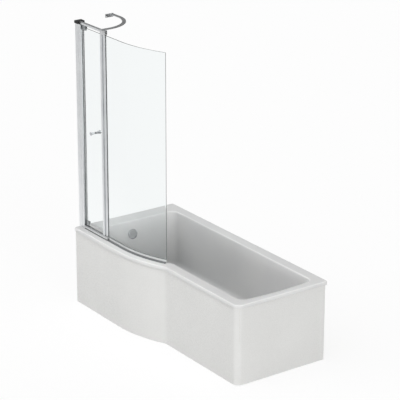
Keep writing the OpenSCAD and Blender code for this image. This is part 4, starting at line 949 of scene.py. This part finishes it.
def hollows(x_a, x_b, half):
    """The two hollows beside a bar's middle web."""
    sides = (BAR_WALL - half, -4), (4, half - BAR_WALL)
    return [oblong(x_a + BAR_WALL, x_b - BAR_WALL, SCREEN_Y + a, SCREEN_Y + b, 1, 2)[::-1] for a, b in sides]


# the jamb's box stands outside the channel and its tongue slides in it
jamb, jamb_x0, tongue_x0, tongue_half = Form(), CHANNEL_X1 + GAP, X0 + 9, 14
box = [grooved(jamb_x0, JAMB_X1, [CHANNEL_X1 + 6])] + hollows(jamb_x0, JAMB_X1, FRAME_D / 2)
tongue = [oblong(tongue_x0, jamb_x0 + 2, SCREEN_Y - tongue_half, SCREEN_Y + tongue_half, 0.8, 2)]
for loops in (box, tongue + hollows(tongue_x0, jamb_x0, tongue_half)):
    jamb.extrude(loops, RIM, CHANNEL_TOP)
piece("jamb_bar", jamb, [BAR_UP], "jamb")

post = [grooved(POST_X0, POST_X1)] + hollows(POST_X0, POST_X1, FRAME_D / 2)
drawn("middle_post_bar", "middle_post", post, BOTTOM_RAIL_TOP, HEAD_Z, BAR_UP)

rail = oblong(SCREEN_Y - 10, SCREEN_Y + 10, CHANNEL_TOP, FRAME_TOP, [0.8, 0.8, 2.5, 2.5])
drawn("top_rail_bar", "top_rail", [rail], X0 + CAP_L + GAP, POST_X0, BAR_ACROSS, "X", 0.4)

# the bottom rail's front slopes a little, so that it sheds water
rail = rounded([
    (FRONT_Y, SILL_TOP), (BACK_Y, SILL_TOP), (BACK_Y, BOTTOM_RAIL_TOP),
    (FRONT_Y + 2.5, BOTTOM_RAIL_TOP), (FRONT_Y, BOTTOM_RAIL_TOP - 5),
], [1, 1, 2, 1.5, 2])
drawn("bottom_rail_bar", "bottom_rail", [rail], JAMB_X1, POST_X1, BAR_ACROSS, "X", 0.4)

strip = oblong(FRONT_Y + 3, BACK_Y - 3, RIM, SILL_TOP, 0.8, 3)
drawn("sill_gasket_strip", "sill_gasket", [strip], JAMB_X1, BLOCK_X1, RUBBER_GREY, "X", 0.5)

# the blocks that hold the curved glass's pivot: square at the post, round at the pivot's end
plan = oblong(POST_X0, BLOCK_X1, FRONT_Y, BACK_Y, [2.2, 12, 12, 2.2], 8)
drawn("post_head_block", "post_head", [plan], HEAD_Z, FRAME_TOP, CAST, edge=1.2)
plan = oblong(POST_X1, BLOCK_X1, FRONT_Y, BACK_Y, [0.5, 12, 12, 0.5], 8)
drawn("post_foot_block", "post_foot", [plan], SILL_TOP, BOTTOM_RAIL_TOP, CAST, edge=1.2)

low, high = limits("channel_cap")
plan = oblong(low.x, high.x, low.y, high.y, 4, 6)
drawn("channel_cap_moulding", "channel_cap", [plan], low.z, high.z, CAP_PLASTIC, edge=1.8)


# ---- access door ----

def edged(form, facing):
    """Gives the faces that look along facing the first finish and the glass's edges the second."""
    for k, face in enumerate(form.faces):
        a, b, c = (Vector(form.points[i]) for i in face[:3])
        normal = (b - a).cross(c - a)
        flat = normal.length > 0 and abs(normal.normalized().dot(facing)) > 0.95
        form.finish[k] = 0 if flat else 1
    return form


pane = [oblong(PANE_X0, PANE_X1, PANE_Z0, PANE_Z1, 3), hole(KNOB_X, KNOB_Z, 4.1, 32)]
pane = Form().extrude(pane, SCREEN_Y - GLASS_HALF, SCREEN_Y + GLASS_HALF, "Y", ARRIS)
piece("door_pane", edged(pane, Vector((0, 1, 0))), [GLASS, GLASS_EDGE], "door_glass")

# a clamp is a solid pad round the pivot, and two cheeks that grip the glass
near_end, far_end = DOOR_X + CLAMP_L - 1, DOOR_X + CLAMP_L
pad = arc(DOOR_X, SCREEN_Y, CLAMP_R, 90, 270, 20)
pad += on_screen([(near_end, -CLAMP_R), (far_end, 1 - CLAMP_R), (far_end, CLAMP_R - 1), (near_end, CLAMP_R)])
cheek = [(x, y) for x, y in pad if y <= SCREEN_Y - GLASS_HALF]
cheek = [(cheek[0][0], SCREEN_Y - GLASS_HALF)] + cheek + [(far_end, SCREEN_Y - GLASS_HALF)]
clamps = Form()
for z, s in ((DOOR_Z0, 1), (DOOR_Z1, -1)):
    a, b = sorted((z, z + s * CLAMP_PAD))
    clamps.extrude([pad], a, b, edge=0.8)
    a, b = sorted((z + s * (CLAMP_PAD - 0.1), z + s * CLAMP_H))
    for ring in (cheek, [(x, 2 * SCREEN_Y - y) for x, y in reversed(cheek)]):
        clamps.extrude([ring], a, b, edge=0.6)
# the clamps' darker finish is painted shade
piece("door_clamp_pair", clamps, [CAST_CLAMP_SHADED], "door_clamps")

x, tip, half = PANE_X1 - DOOR_SEAL_GRIP, POST_X0 - 1, DOOR_SEAL_HALF
strip = on_screen([
    (x, -half), (tip, -half), (tip, half), (x, half),
    (x, GLASS_HALF), (PANE_X1, GLASS_HALF), (PANE_X1, -GLASS_HALF), (x, -GLASS_HALF),
])
strip = rounded(strip, [0.4, 1.6, 1.6, 0.4, 0.3, 0.3, 0.3, 0.3])
drawn("door_edge_seal_strip", "door_edge_seal", [strip], PANE_Z0, PANE_Z1, SEAL)

grip = PANE_Z0 + DOOR_SEAL_GRIP
strip = rounded([(SCREEN_Y + y, z) for y, z in (
    (-half, DOOR_Z0 + 1.5), (-2, DOOR_Z0), (2, DOOR_Z0), (half, DOOR_Z0 + 1.5), (half, grip),
    (GLASS_HALF, grip), (GLASS_HALF, PANE_Z0), (-GLASS_HALF, PANE_Z0), (-GLASS_HALF, grip), (-half, grip),
)], 0.3, 3)
drawn("door_foot_seal_strip", "door_bottom_seal", [strip], far_end + GAP, x - GAP, SEAL, "X")

low, high = limits("jamb_seal")
strip = [(low.x, low.y), (high.x, SCREEN_Y - 1), (high.x, SCREEN_Y + 1), (low.x, high.y)]
# the jamb's seal in grey: painted shade for the band beside the jamb
drawn("jamb_seal_strip", "jamb_seal", [rounded(strip, 0.5, 3)], low.z, high.z, SEAL_LIP_SHADED, edge=0.4)

# a turned knob: a cone that widens from the glass to a softly domed end
KNOB = [
    (0, 0), (5.5, 0), (5.5, 1.2), (5.9, 3), (8.2, 16), (11.2, 30.5),
    (11.9, 32.6), (12, 33.8), (11.6, 35), (10.6, 35.7), (8, 36), (0, 36),
]
WASHER = [(4.1, 0), (6.6, 0), (7, 0.3), (7, 0.7), (6.6, WASHER_T), (4.1, WASHER_T)]
washers = Form()
for name, s in (("outer_knob", -1), ("inner_knob", 1)):
    at = KNOB_X, SCREEN_Y + s * (GLASS_HALF + WASHER_T), KNOB_Z
    lathed(name + "_turned", name, KNOB, at, (0, s, 0), CHROME, 45, 64)
    washers.turned(WASHER, (KNOB_X, SCREEN_Y + s * GLASS_HALF, KNOB_Z), (0, s, 0), 48)
piece("knob_washer_pair", washers, [RUBBER], "knob_washers")


# ---- curved glass ----

def curved_pane():
    """The curved glass: columns of one arrised section, its foot cut away over the post's foot."""
    foot = [
        (GLASS_X0, PROFILE_Z0), (GLASS_X0 + ARRIS, PROFILE_Z0), (NOTCH_X - 6, PROFILE_Z0),
        (NOTCH_X - 0.01, PROFILE_Z0), (NOTCH_X + 0.01, GLASS_Z0 + 4), (NOTCH_X + 0.8, GLASS_Z0 + 1.8),
        (NOTCH_X + 2.4, GLASS_Z0 + 0.4),
    ]
    foot += straight((NOTCH_X + 5, GLASS_Z0), (SWELL_X, GLASS_Z0), 6)
    columns = [(x, SCREEN_Y, 0, -1, z) for x, z in foot]
    outward = arc(0, 0, 1, 270, 270 + GLASS_A, 80)
    columns += [(SWELL_X + GLASS_R * u, SWELL_Y + GLASS_R * v, u, v, GLASS_Z0) for u, v in outward]
    rings = []
    for k, (x, y, u, v, low) in enumerate(columns):
        trim = ARRIS if k in (0, len(columns) - 1) else 0
        half, low, high = GLASS_HALF - trim, low + trim, GLASS_Z1 - trim
        inner = half - ARRIS
        section = [(-half, low + ARRIS), (-inner, low), (inner, low), (half, low + ARRIS)]
        section += [(half, high - ARRIS), (inner, high), (-inner, high), (-half, high - ARRIS)]
        rings.append([(x + u * t, y + v * t, z) for t, z in section])
    form = Form().loft(rings, lambda k, s: 0 if s in (3, 7) else 1)
    return form.fill([rings[0]], 1).fill([rings[-1]], 1)


piece("curved_pane", curved_pane(), [GLASS, GLASS_EDGE], "curved_glass", 25)


def curved_seal():
    """The clear seal that grips the glass's foot; its lips rest on the rim, in front and behind, grey as
    painted shade for the dark line under the seal.
    """
    # how far outside the glass's middle line and above the rim each corner of its section lies
    section = [
        (-7.5, 0.3), (14, 0.3), (14, 2.2), (12.6, 3.6), (7, 8.2), (4.9, 11.4), (4.5, 14), (4.5, 25.5),
        (4.5, 29.6), (4.1, 30), (3, 30), (3, 22), (-3, 22), (-3, 30), (-4.1, 30), (-4.5, 29.6),
        (-4.5, 11), (-5.2, 7.6), (-7.5, 4),
    ]
    # the lips' faces, grey as painted shade along the seal's foot
    grey = {0, 1, 2, 3, 4, 7, 8, 9, 17, 18}
    tracks = []
    for t, h in section:
        start, end = (NOTCH_X + 2, SCREEN_Y - t), (SWELL_X, SCREEN_Y - t)
        path = straight(start, end, 8) + arc(SWELL_X, SWELL_Y, GLASS_R + t, 270, 270 + GLASS_A, 72)
        tracks.append([(x, y, RIM + h) for x, y in path])
    rings = [list(ring) for ring in zip(*tracks)]
    form = Form().loft(rings, lambda k, s: 1 if s in grey else 0)
    return form.fill([rings[0]]).fill([rings[-1]])


piece("curved_seal_strip", curved_seal(), [SEAL, SEAL_LIP_SHADED], "curved_seal", 40)

# the pivot profile: a round bar with a nose that grips the glass in its gasket
nose = math.degrees(math.asin(NOSE_HALF / PIVOT_R))
nose_x, slot_x = PIVOT_X + NOSE_L, GLASS_X0 - 1.5
plan = arc(PIVOT_X, SCREEN_Y, PIVOT_R, nose, 360 - nose, 60) + on_screen([
    (nose_x - 0.8, -NOSE_HALF), (nose_x, 0.8 - NOSE_HALF), (nose_x, -SLOT_HALF), (slot_x, -SLOT_HALF),
    (slot_x, SLOT_HALF), (nose_x, SLOT_HALF), (nose_x, NOSE_HALF - 0.8), (nose_x - 0.8, NOSE_HALF),
])
plan = [plan, hole(PIVOT_X, SCREEN_Y, PIVOT_BORE, 40)]
drawn("pivot_profile_bar", "pivot_profile", plan, PROFILE_Z0, PROFILE_Z1, BAR_UP)

strip = rounded(on_screen([
    (nose_x, -SLOT_HALF), (nose_x, -GLASS_HALF), (GLASS_X0, -GLASS_HALF), (GLASS_X0, GLASS_HALF),
    (nose_x, GLASS_HALF), (nose_x, SLOT_HALF), (slot_x, SLOT_HALF), (slot_x, -SLOT_HALF),
]), [0.5, 0.3, 0.3, 0.3, 0.3, 0.5, 0.4, 0.4], 3)
drawn("glass_gasket_strip", "glass_gasket", [strip], PROFILE_Z0, GLASS_Z1, RUBBER)


# ---- brace arm ----

arm_z, bend_x, bend_y, plate_x = FRAME_TOP + ARM_T / 2, ARM_X - ARM_BEND, ARM_Y - ARM_BEND, X0 + ARM_PLATE_T
arm_path = straight((ARM_X, SCREEN_Y - 13, arm_z), (ARM_X, bend_y, arm_z), 5)
arm_path += [(x, y, arm_z) for x, y in arc(bend_x, bend_y, ARM_BEND, 0, 90, 60)]
arm_path += straight((bend_x, ARM_Y, arm_z), (plate_x + GAP, ARM_Y, arm_z), 4)[1:]
arm_path.append((plate_x + GAP, ARM_Y, arm_z))
arm_sizes = {"Width": ARM_W, "Thickness": ARM_T, "Rounding": 1.1}
arm = grown("brace_arm_path", strip_tree(BAR_BENT_SHADED), arm_path, arm_sizes)
piece("brace_arm_strip", arm, [BAR_BENT_SHADED], "brace_arm")

# a wall plate with two holes, and the shelf that the arm's end lies on
low, high = limits("arm_wall_plate")
plate = [oblong(low.y, high.y, low.z, high.z, 4, 6)]
plate += [hole(high.y - 9 - along, low.z + 6, 2.75, 24) for along in (0, 44)]
shelf = oblong(plate_x - 0.1, high.x, ARM_Y - ARM_W / 2, ARM_Y + ARM_W / 2, [0.3, 4, 4, 0.3], 6)
arm_plate = Form().extrude(plate, X0, plate_x, "X", 0.8)
arm_plate.extrude([shelf], FRAME_TOP - 5, FRAME_TOP, edge=0.7)
piece("arm_wall_plate_pressed", arm_plate, [CAST], "arm_wall_plate")


# ---- waste and overflow ----

# a dished flange with a rolled edge, its throat, and the hub and three bars that guide the plug's stem
flange = Form().turned([
    (22, 2.1), (24.5, 2.5), (31, 2.5), (33.8, 2.2), (35, 1.2), (35, 0), (24, 0), (24, -22), (22, -22),
], WASTE, UP, 96)
hub_foot, hub_top = -14, -8
flange.turned([(5.05, hub_foot), (8, hub_foot), (8, hub_top), (5.05, hub_top)], WASTE, UP, 32)
for k in range(3):
    c, s = math.cos(math.radians(120 * k)), math.sin(math.radians(120 * k))
    bar = [(x * c - y * s + WASTE_X, x * s + y * c + WASTE_Y) for x, y in oblong(7, 23, -2, 2, 0.6, 2)]
    flange.extrude([bar], FLOOR + hub_foot, FLOOR + hub_top, edge=0.5)
piece("waste_flange_turned", flange, [CHROME], "waste_flange", 45)

# the plug: its stem from the foot up, a step for its seal and a low domed cap
stem = limits("waste_plug")[0].z - FLOOR
lathed("waste_plug_turned", "waste_plug", [
    (0, stem), (4.4, stem), (5, stem + 0.8), (5, -3), (18.2, -3), (19, -2.2), (19, 2.4), (20, 2.8),
    (29.5, 2.8), (31, 3.8), (31, 5.4), (30.2, 6.5), (28, 7.1), (20, 7.4), (10, 7.5), (0, 7.5),
], WASTE, UP, CHROME, 40)

faceplate = [(21.5, -16), (24, -16), (24, 0), (31, 0), (31, 1.8), (30.2, 3), (21.5, 3)]
lathed("overflow_faceplate_turned", "overflow_faceplate", faceplate, OVERFLOW, OVERFLOW_AXIS, CHROME, 40)

# the dial: a shallow dished face inside a rounded rim, on its hub
lathed("overflow_dial_turned", "overflow_dial", [
    (0, -2), (8.4, -2), (9, -1.4), (9, 8), (33.6, 8), (34.7, 8.6), (35, 9.6), (35, 12.6), (34.5, 14.1),
    (33.2, 14.9), (31.6, 14.9), (30.2, 14.2), (29.2, 13.4), (27, 13.1), (14, 13.5), (0, 13.7),
], OVERFLOW, OVERFLOW_AXIS, CHROME, 50)


def down_and_along(x, y, top, z, end, steps):
    """A path that drops from top, turns by PIPE_BEND and runs level at height z to x = end."""
    down, round_it, level = steps
    path = straight((x, y, top), (x, y, z + PIPE_BEND), down)
    path += [(u, y, v) for u, v in arc(x + PIPE_BEND, z + PIPE_BEND, PIPE_BEND, 180, 270, round_it)[:-1]]
    return path + straight((x + PIPE_BEND, y, z), (end, y, z), level) + [(end, y, z)]


# a ribbed hose: one rib every 6 mm
hose_end = WASTE_X - WASTE_R - INLET_L + HOSE_OVERLAP
hose_path = down_and_along(SPIGOT_X, WASTE_Y, HOSE_TOP, HOSE_Z, hose_end, (162, 63, 52))
hose_sizes = {"Radius": HOSE_R, "Rib": HOSE_RIB, "Pitch": 6}
hose = grown("overflow_hose_path", hose_tree(GREY_PLASTIC), hose_path, hose_sizes)
piece("overflow_hose_ribbed", hose, [GREY_PLASTIC], "overflow_hose", 60, False)

cable_path = down_and_along(CABLE_X, CABLE_Y, CABLE_TOP, CABLE_Z, WASTE_X - WASTE_R - 4, (24, 16, 6))
cable = Form().sweep(cable_path, arc(0, 0, CABLE_R, 0, 360, 16)[:-1], (0, 1, 0))
piece("control_cable_sleeve", cable, [CABLE_SLEEVE], "control_cable", 60, False)


# ---- screws, nuts, studs and feet ----

def at_each(name, node, tree, sizes, way, look, start=0, crease=35):
    """A piece of what the tree makes at each solid of a CAD node, pointing that way, from start past the
    solid's near end to its far end."""
    bm = bmesh.new()
    for low, high in solids_of(node):
        ahead = Vector(way(high) if callable(way) else way)
        half = (high - low).dot(Vector([abs(c) for c in ahead])) / 2
        spot = (low + high) / 2 + ahead * (start - half)
        own_sizes = {**sizes, "Length": half * 2 - start}
        bm.from_mesh(grown(node + "_spot", tree, [spot], own_sizes, tuple(ahead)))
    mesh = bpy.data.meshes.new(name)
    bm.to_mesh(mesh)
    bm.free()
    piece(name, mesh, [look], node, crease, False)


def frame_screw_way(high):
    """The screws of the head run down from the frame's top, and those of the sill run up."""
    return DOWN if high.z > FRAME_TOP - 30 else UP


SCREW_HEAD = 2
SCREW = {"Head radius": 3.6, "Head height": SCREW_HEAD, "Radius": 2, "Pitch": 1.6}
STUD = {"Radius": 5, "Pitch": 1.5}
NUT = {"Across corners": 19, "Height": 8, "Bore": 5.1}
FOOT = {"Pad radius": 22, "Pad height": 8, "Hub radius": 11, "Hub height": 24, "Bore": 5.1}

screws = screw_tree(ZINC)
for node, way in (
    ("board_screws", UP), ("clip_screws", UP), ("jamb_screws", FRONT), ("arm_screws", DOWN),
    ("frame_screws", frame_screw_way),
):
    at_each(node + "_threaded", node, screws, SCREW, way, ZINC, SCREW_HEAD)
at_each("leg_studs_threaded", "leg_studs", stud_tree(ZINC), STUD, UP, ZINC)
at_each("leg_nuts_chamfered", "leg_nuts", nut_tree(ZINC), NUT, UP, ZINC, NUT["Height"] / 2, 25)
at_each("feet_moulded", "feet", foot_tree(GREY_PLASTIC), FOOT, UP, GREY_PLASTIC, crease=30)


# ---- pins and bushes ----

def pins(node, along, r, chamfer=0.5):
    """A round pin with chamfered ends at each solid of a CAD node, along that one of its axes."""
    form = Form()
    for low, high in solids_of(node):
        start, length = (low + high) / 2, high[along] - low[along]
        start[along] = low[along]
        near = [(0, 0), (r - chamfer, 0), (r, chamfer)]
        far = [(at, length - h) for at, h in reversed(near)]
        form.turned(near + far, start, [k == along for k in range(3)], 40)
    piece(node + "_turned", form, [ZINC], node)


pins("door_pivot_pins", 2, 3)
pins("pivot_pins", 2, 3)
pins("lever_pin", 1, 1.5, 0.3)
pins("knob_stud", 1, 4)

# each bush has its collar at the outer end: the lower one below, the upper one above
bushes, bush_bore = Form(), 3.05
for low, high in solids_of("pivot_bushes"):
    collar, tip, s = (low.z, high.z, 1) if low.z < HEAD_Z / 2 else (high.z, low.z, -1)
    bushes.turned([
        (bush_bore, collar), (8, collar), (8, collar + s * 1.5), (5, collar + s * 1.5),
        (5, tip - s * 0.4), (4.6, tip), (bush_bore, tip),
    ], (PIVOT_X, SCREEN_Y, 0), UP, 48)
piece("pivot_bushes_moulded", bushes, [NYLON], "pivot_bushes")


# ---- nodes whose shape is right, shown with smooth rounds ----

for node, look in (
    ("overflow_body", GREY_PLASTIC), ("waste_body", GREY_PLASTIC), ("hose_nuts", RUBBER),
    ("overflow_gasket", RUBBER), ("waste_gasket", RUBBER), ("leg_rails", ZINC), ("centre_plate", ZINC),
    ("wall_brackets", ZINC), ("panel_clips", ZINC), ("plug_seal", RUBBER), ("lift_lever", GREY_PLASTIC),
    ("dial_spindle", BRASS),
):
    carried(node, look)


# ---- floor, background and light ----

WHITE = (1, 1, 1, 1)


def sights(tree):
    """1 for what the eye meets directly, in a mirror face or through glass, and 0 for the light that the
    pieces scatter; then 1 for mirror faces alone."""
    path = add(tree, "ShaderNodeLightPath")
    direct = path["Is Camera Ray"]
    for ray in ("Is Glossy Ray", "Is Transmission Ray"):
        direct = add(tree, "ShaderNodeMath", (direct, path[ray]), operation="MAXIMUM")[0]
    first = add(tree, "ShaderNodeMath", (path["Diffuse Depth"], 0.5), operation="LESS_THAN")[0]
    return add(tree, "ShaderNodeMath", (direct, first), operation="MULTIPLY")[0], path["Is Reflection Ray"]


def white_paper():
    # White paper, which the eye sees as the photograph's plain ground. Mirror-like faces see it grow darker
    # behind the object, to scattered light it is grey, and from below it can't be seen.
    paper = bpy.data.materials.new("white_floor_paper")
    paper.use_nodes = True
    tree = paper.node_tree
    tree.nodes.clear()
    seen, mirrored = sights(tree)
    plain = add(tree, "ShaderNodeEmission", {"Color": WHITE, "Strength": 1.0})[0]
    lit = add(tree, "ShaderNodeBsdfDiffuse", {"Color": WHITE})[0]
    met = add(tree, "ShaderNodeMixShader", (0.12, plain, lit))[0]
    place = add(tree, "ShaderNodeTexCoord")["Object"]
    behind = add(tree, "ShaderNodeSeparateXYZ", (place,))["Y"]
    in_front = span(tree, behind, 0.74, 1.0, -2.2, -1.3)
    shadowy = (in_front, span(tree, behind, 1.0, 0.08, -1.1, 1.1))
    shadowy = add(tree, "ShaderNodeMath", shadowy, operation="MULTIPLY")[0]
    mirror = add(tree, "ShaderNodeEmission", {"Color": WHITE, "Strength": shadowy})[0]
    met = add(tree, "ShaderNodeMixShader", (mirrored, met, mirror))[0]
    scattered = add(tree, "ShaderNodeBsdfDiffuse", {"Color": (0.25, 0.25, 0.25, 1)})[0]
    above = add(tree, "ShaderNodeMixShader", (seen, scattered, met))[0]
    underside = add(tree, "ShaderNodeNewGeometry")["Backfacing"]
    clear = add(tree, "ShaderNodeBsdfTransparent")[0]
    both = add(tree, "ShaderNodeMixShader", (underside, above, clear))[0]
    add(tree, "ShaderNodeOutputMaterial", {"Surface": both})
    return paper


def studio_sky():
    # The sky lights the pieces from a bright strip at the horizon, as the wall of a light tent does, and for
    # mirror faces it has a grey band.
    world = bpy.data.worlds.new("studio_sky")
    world.use_nodes = True
    tree = world.node_tree
    tree.nodes.clear()
    seen, mirrored = sights(tree)
    place = add(tree, "ShaderNodeTexCoord")["Generated"]
    toward = add(tree, "ShaderNodeSeparateXYZ", (place,))["Z"]
    squared = add(tree, "ShaderNodeMath", (toward, toward), operation="MULTIPLY")[0]
    flat = add(tree, "ShaderNodeMath", (1.0, squared), operation="SUBTRACT")[0]
    strip = add(tree, "ShaderNodeMath", (flat, 50.0), operation="POWER")[0]
    strip = add(tree, "ShaderNodeMath", (strip, 2.9), operation="MULTIPLY")[0]
    sky = add(tree, "ShaderNodeBackground", {"Color": WHITE, "Strength": strip})[0]
    rise = span(tree, toward, 0.0, 0.8, 0.0, 0.12, interpolation_type="SMOOTHSTEP")
    drop = span(tree, toward, 1.0, 0.0, 0.5, 0.8, interpolation_type="SMOOTHSTEP")
    grey = add(tree, "ShaderNodeMath", (rise, drop), operation="MULTIPLY")[0]
    band = add(tree, "ShaderNodeMath", (1.0, grey), operation="SUBTRACT")[0]
    plain = add(tree, "ShaderNodeBackground", {"Color": WHITE, "Strength": 1.0})[0]
    banded = add(tree, "ShaderNodeBackground", {"Color": WHITE, "Strength": band})[0]
    met = add(tree, "ShaderNodeMixShader", (mirrored, plain, banded))[0]
    both = add(tree, "ShaderNodeMixShader", (seen, sky, met))[0]
    add(tree, "ShaderNodeOutputWorld", {"Surface": both})
    return world


floor_mesh = bpy.data.meshes.new("studio_floor")
floor_mesh.from_pydata([(-30, -30, 0), (30, -30, 0), (30, 30, 0), (-30, 30, 0)], [], [(0, 1, 2, 3)])
floor_mesh.materials.append(white_paper())
shown("studio_floor", floor_mesh)
bpy.context.scene.world = studio_sky()

for name, direction, strength, angle in (
    ("front_key", (0.10, 0.45, -0.88), 2.65, 90),
    ("side_fill", (-0.99, 0.10, -0.085), 1.60, 24),
):
    lamp = bpy.data.lights.new(name, "SUN")
    lamp.energy, lamp.angle = strength, math.radians(angle)
    held = shown(name, lamp)
    held.visible_glossy = False
    held.rotation_mode = "QUATERNION"
    held.rotation_quaternion = Vector(direction).to_track_quat("-Z", "Y")
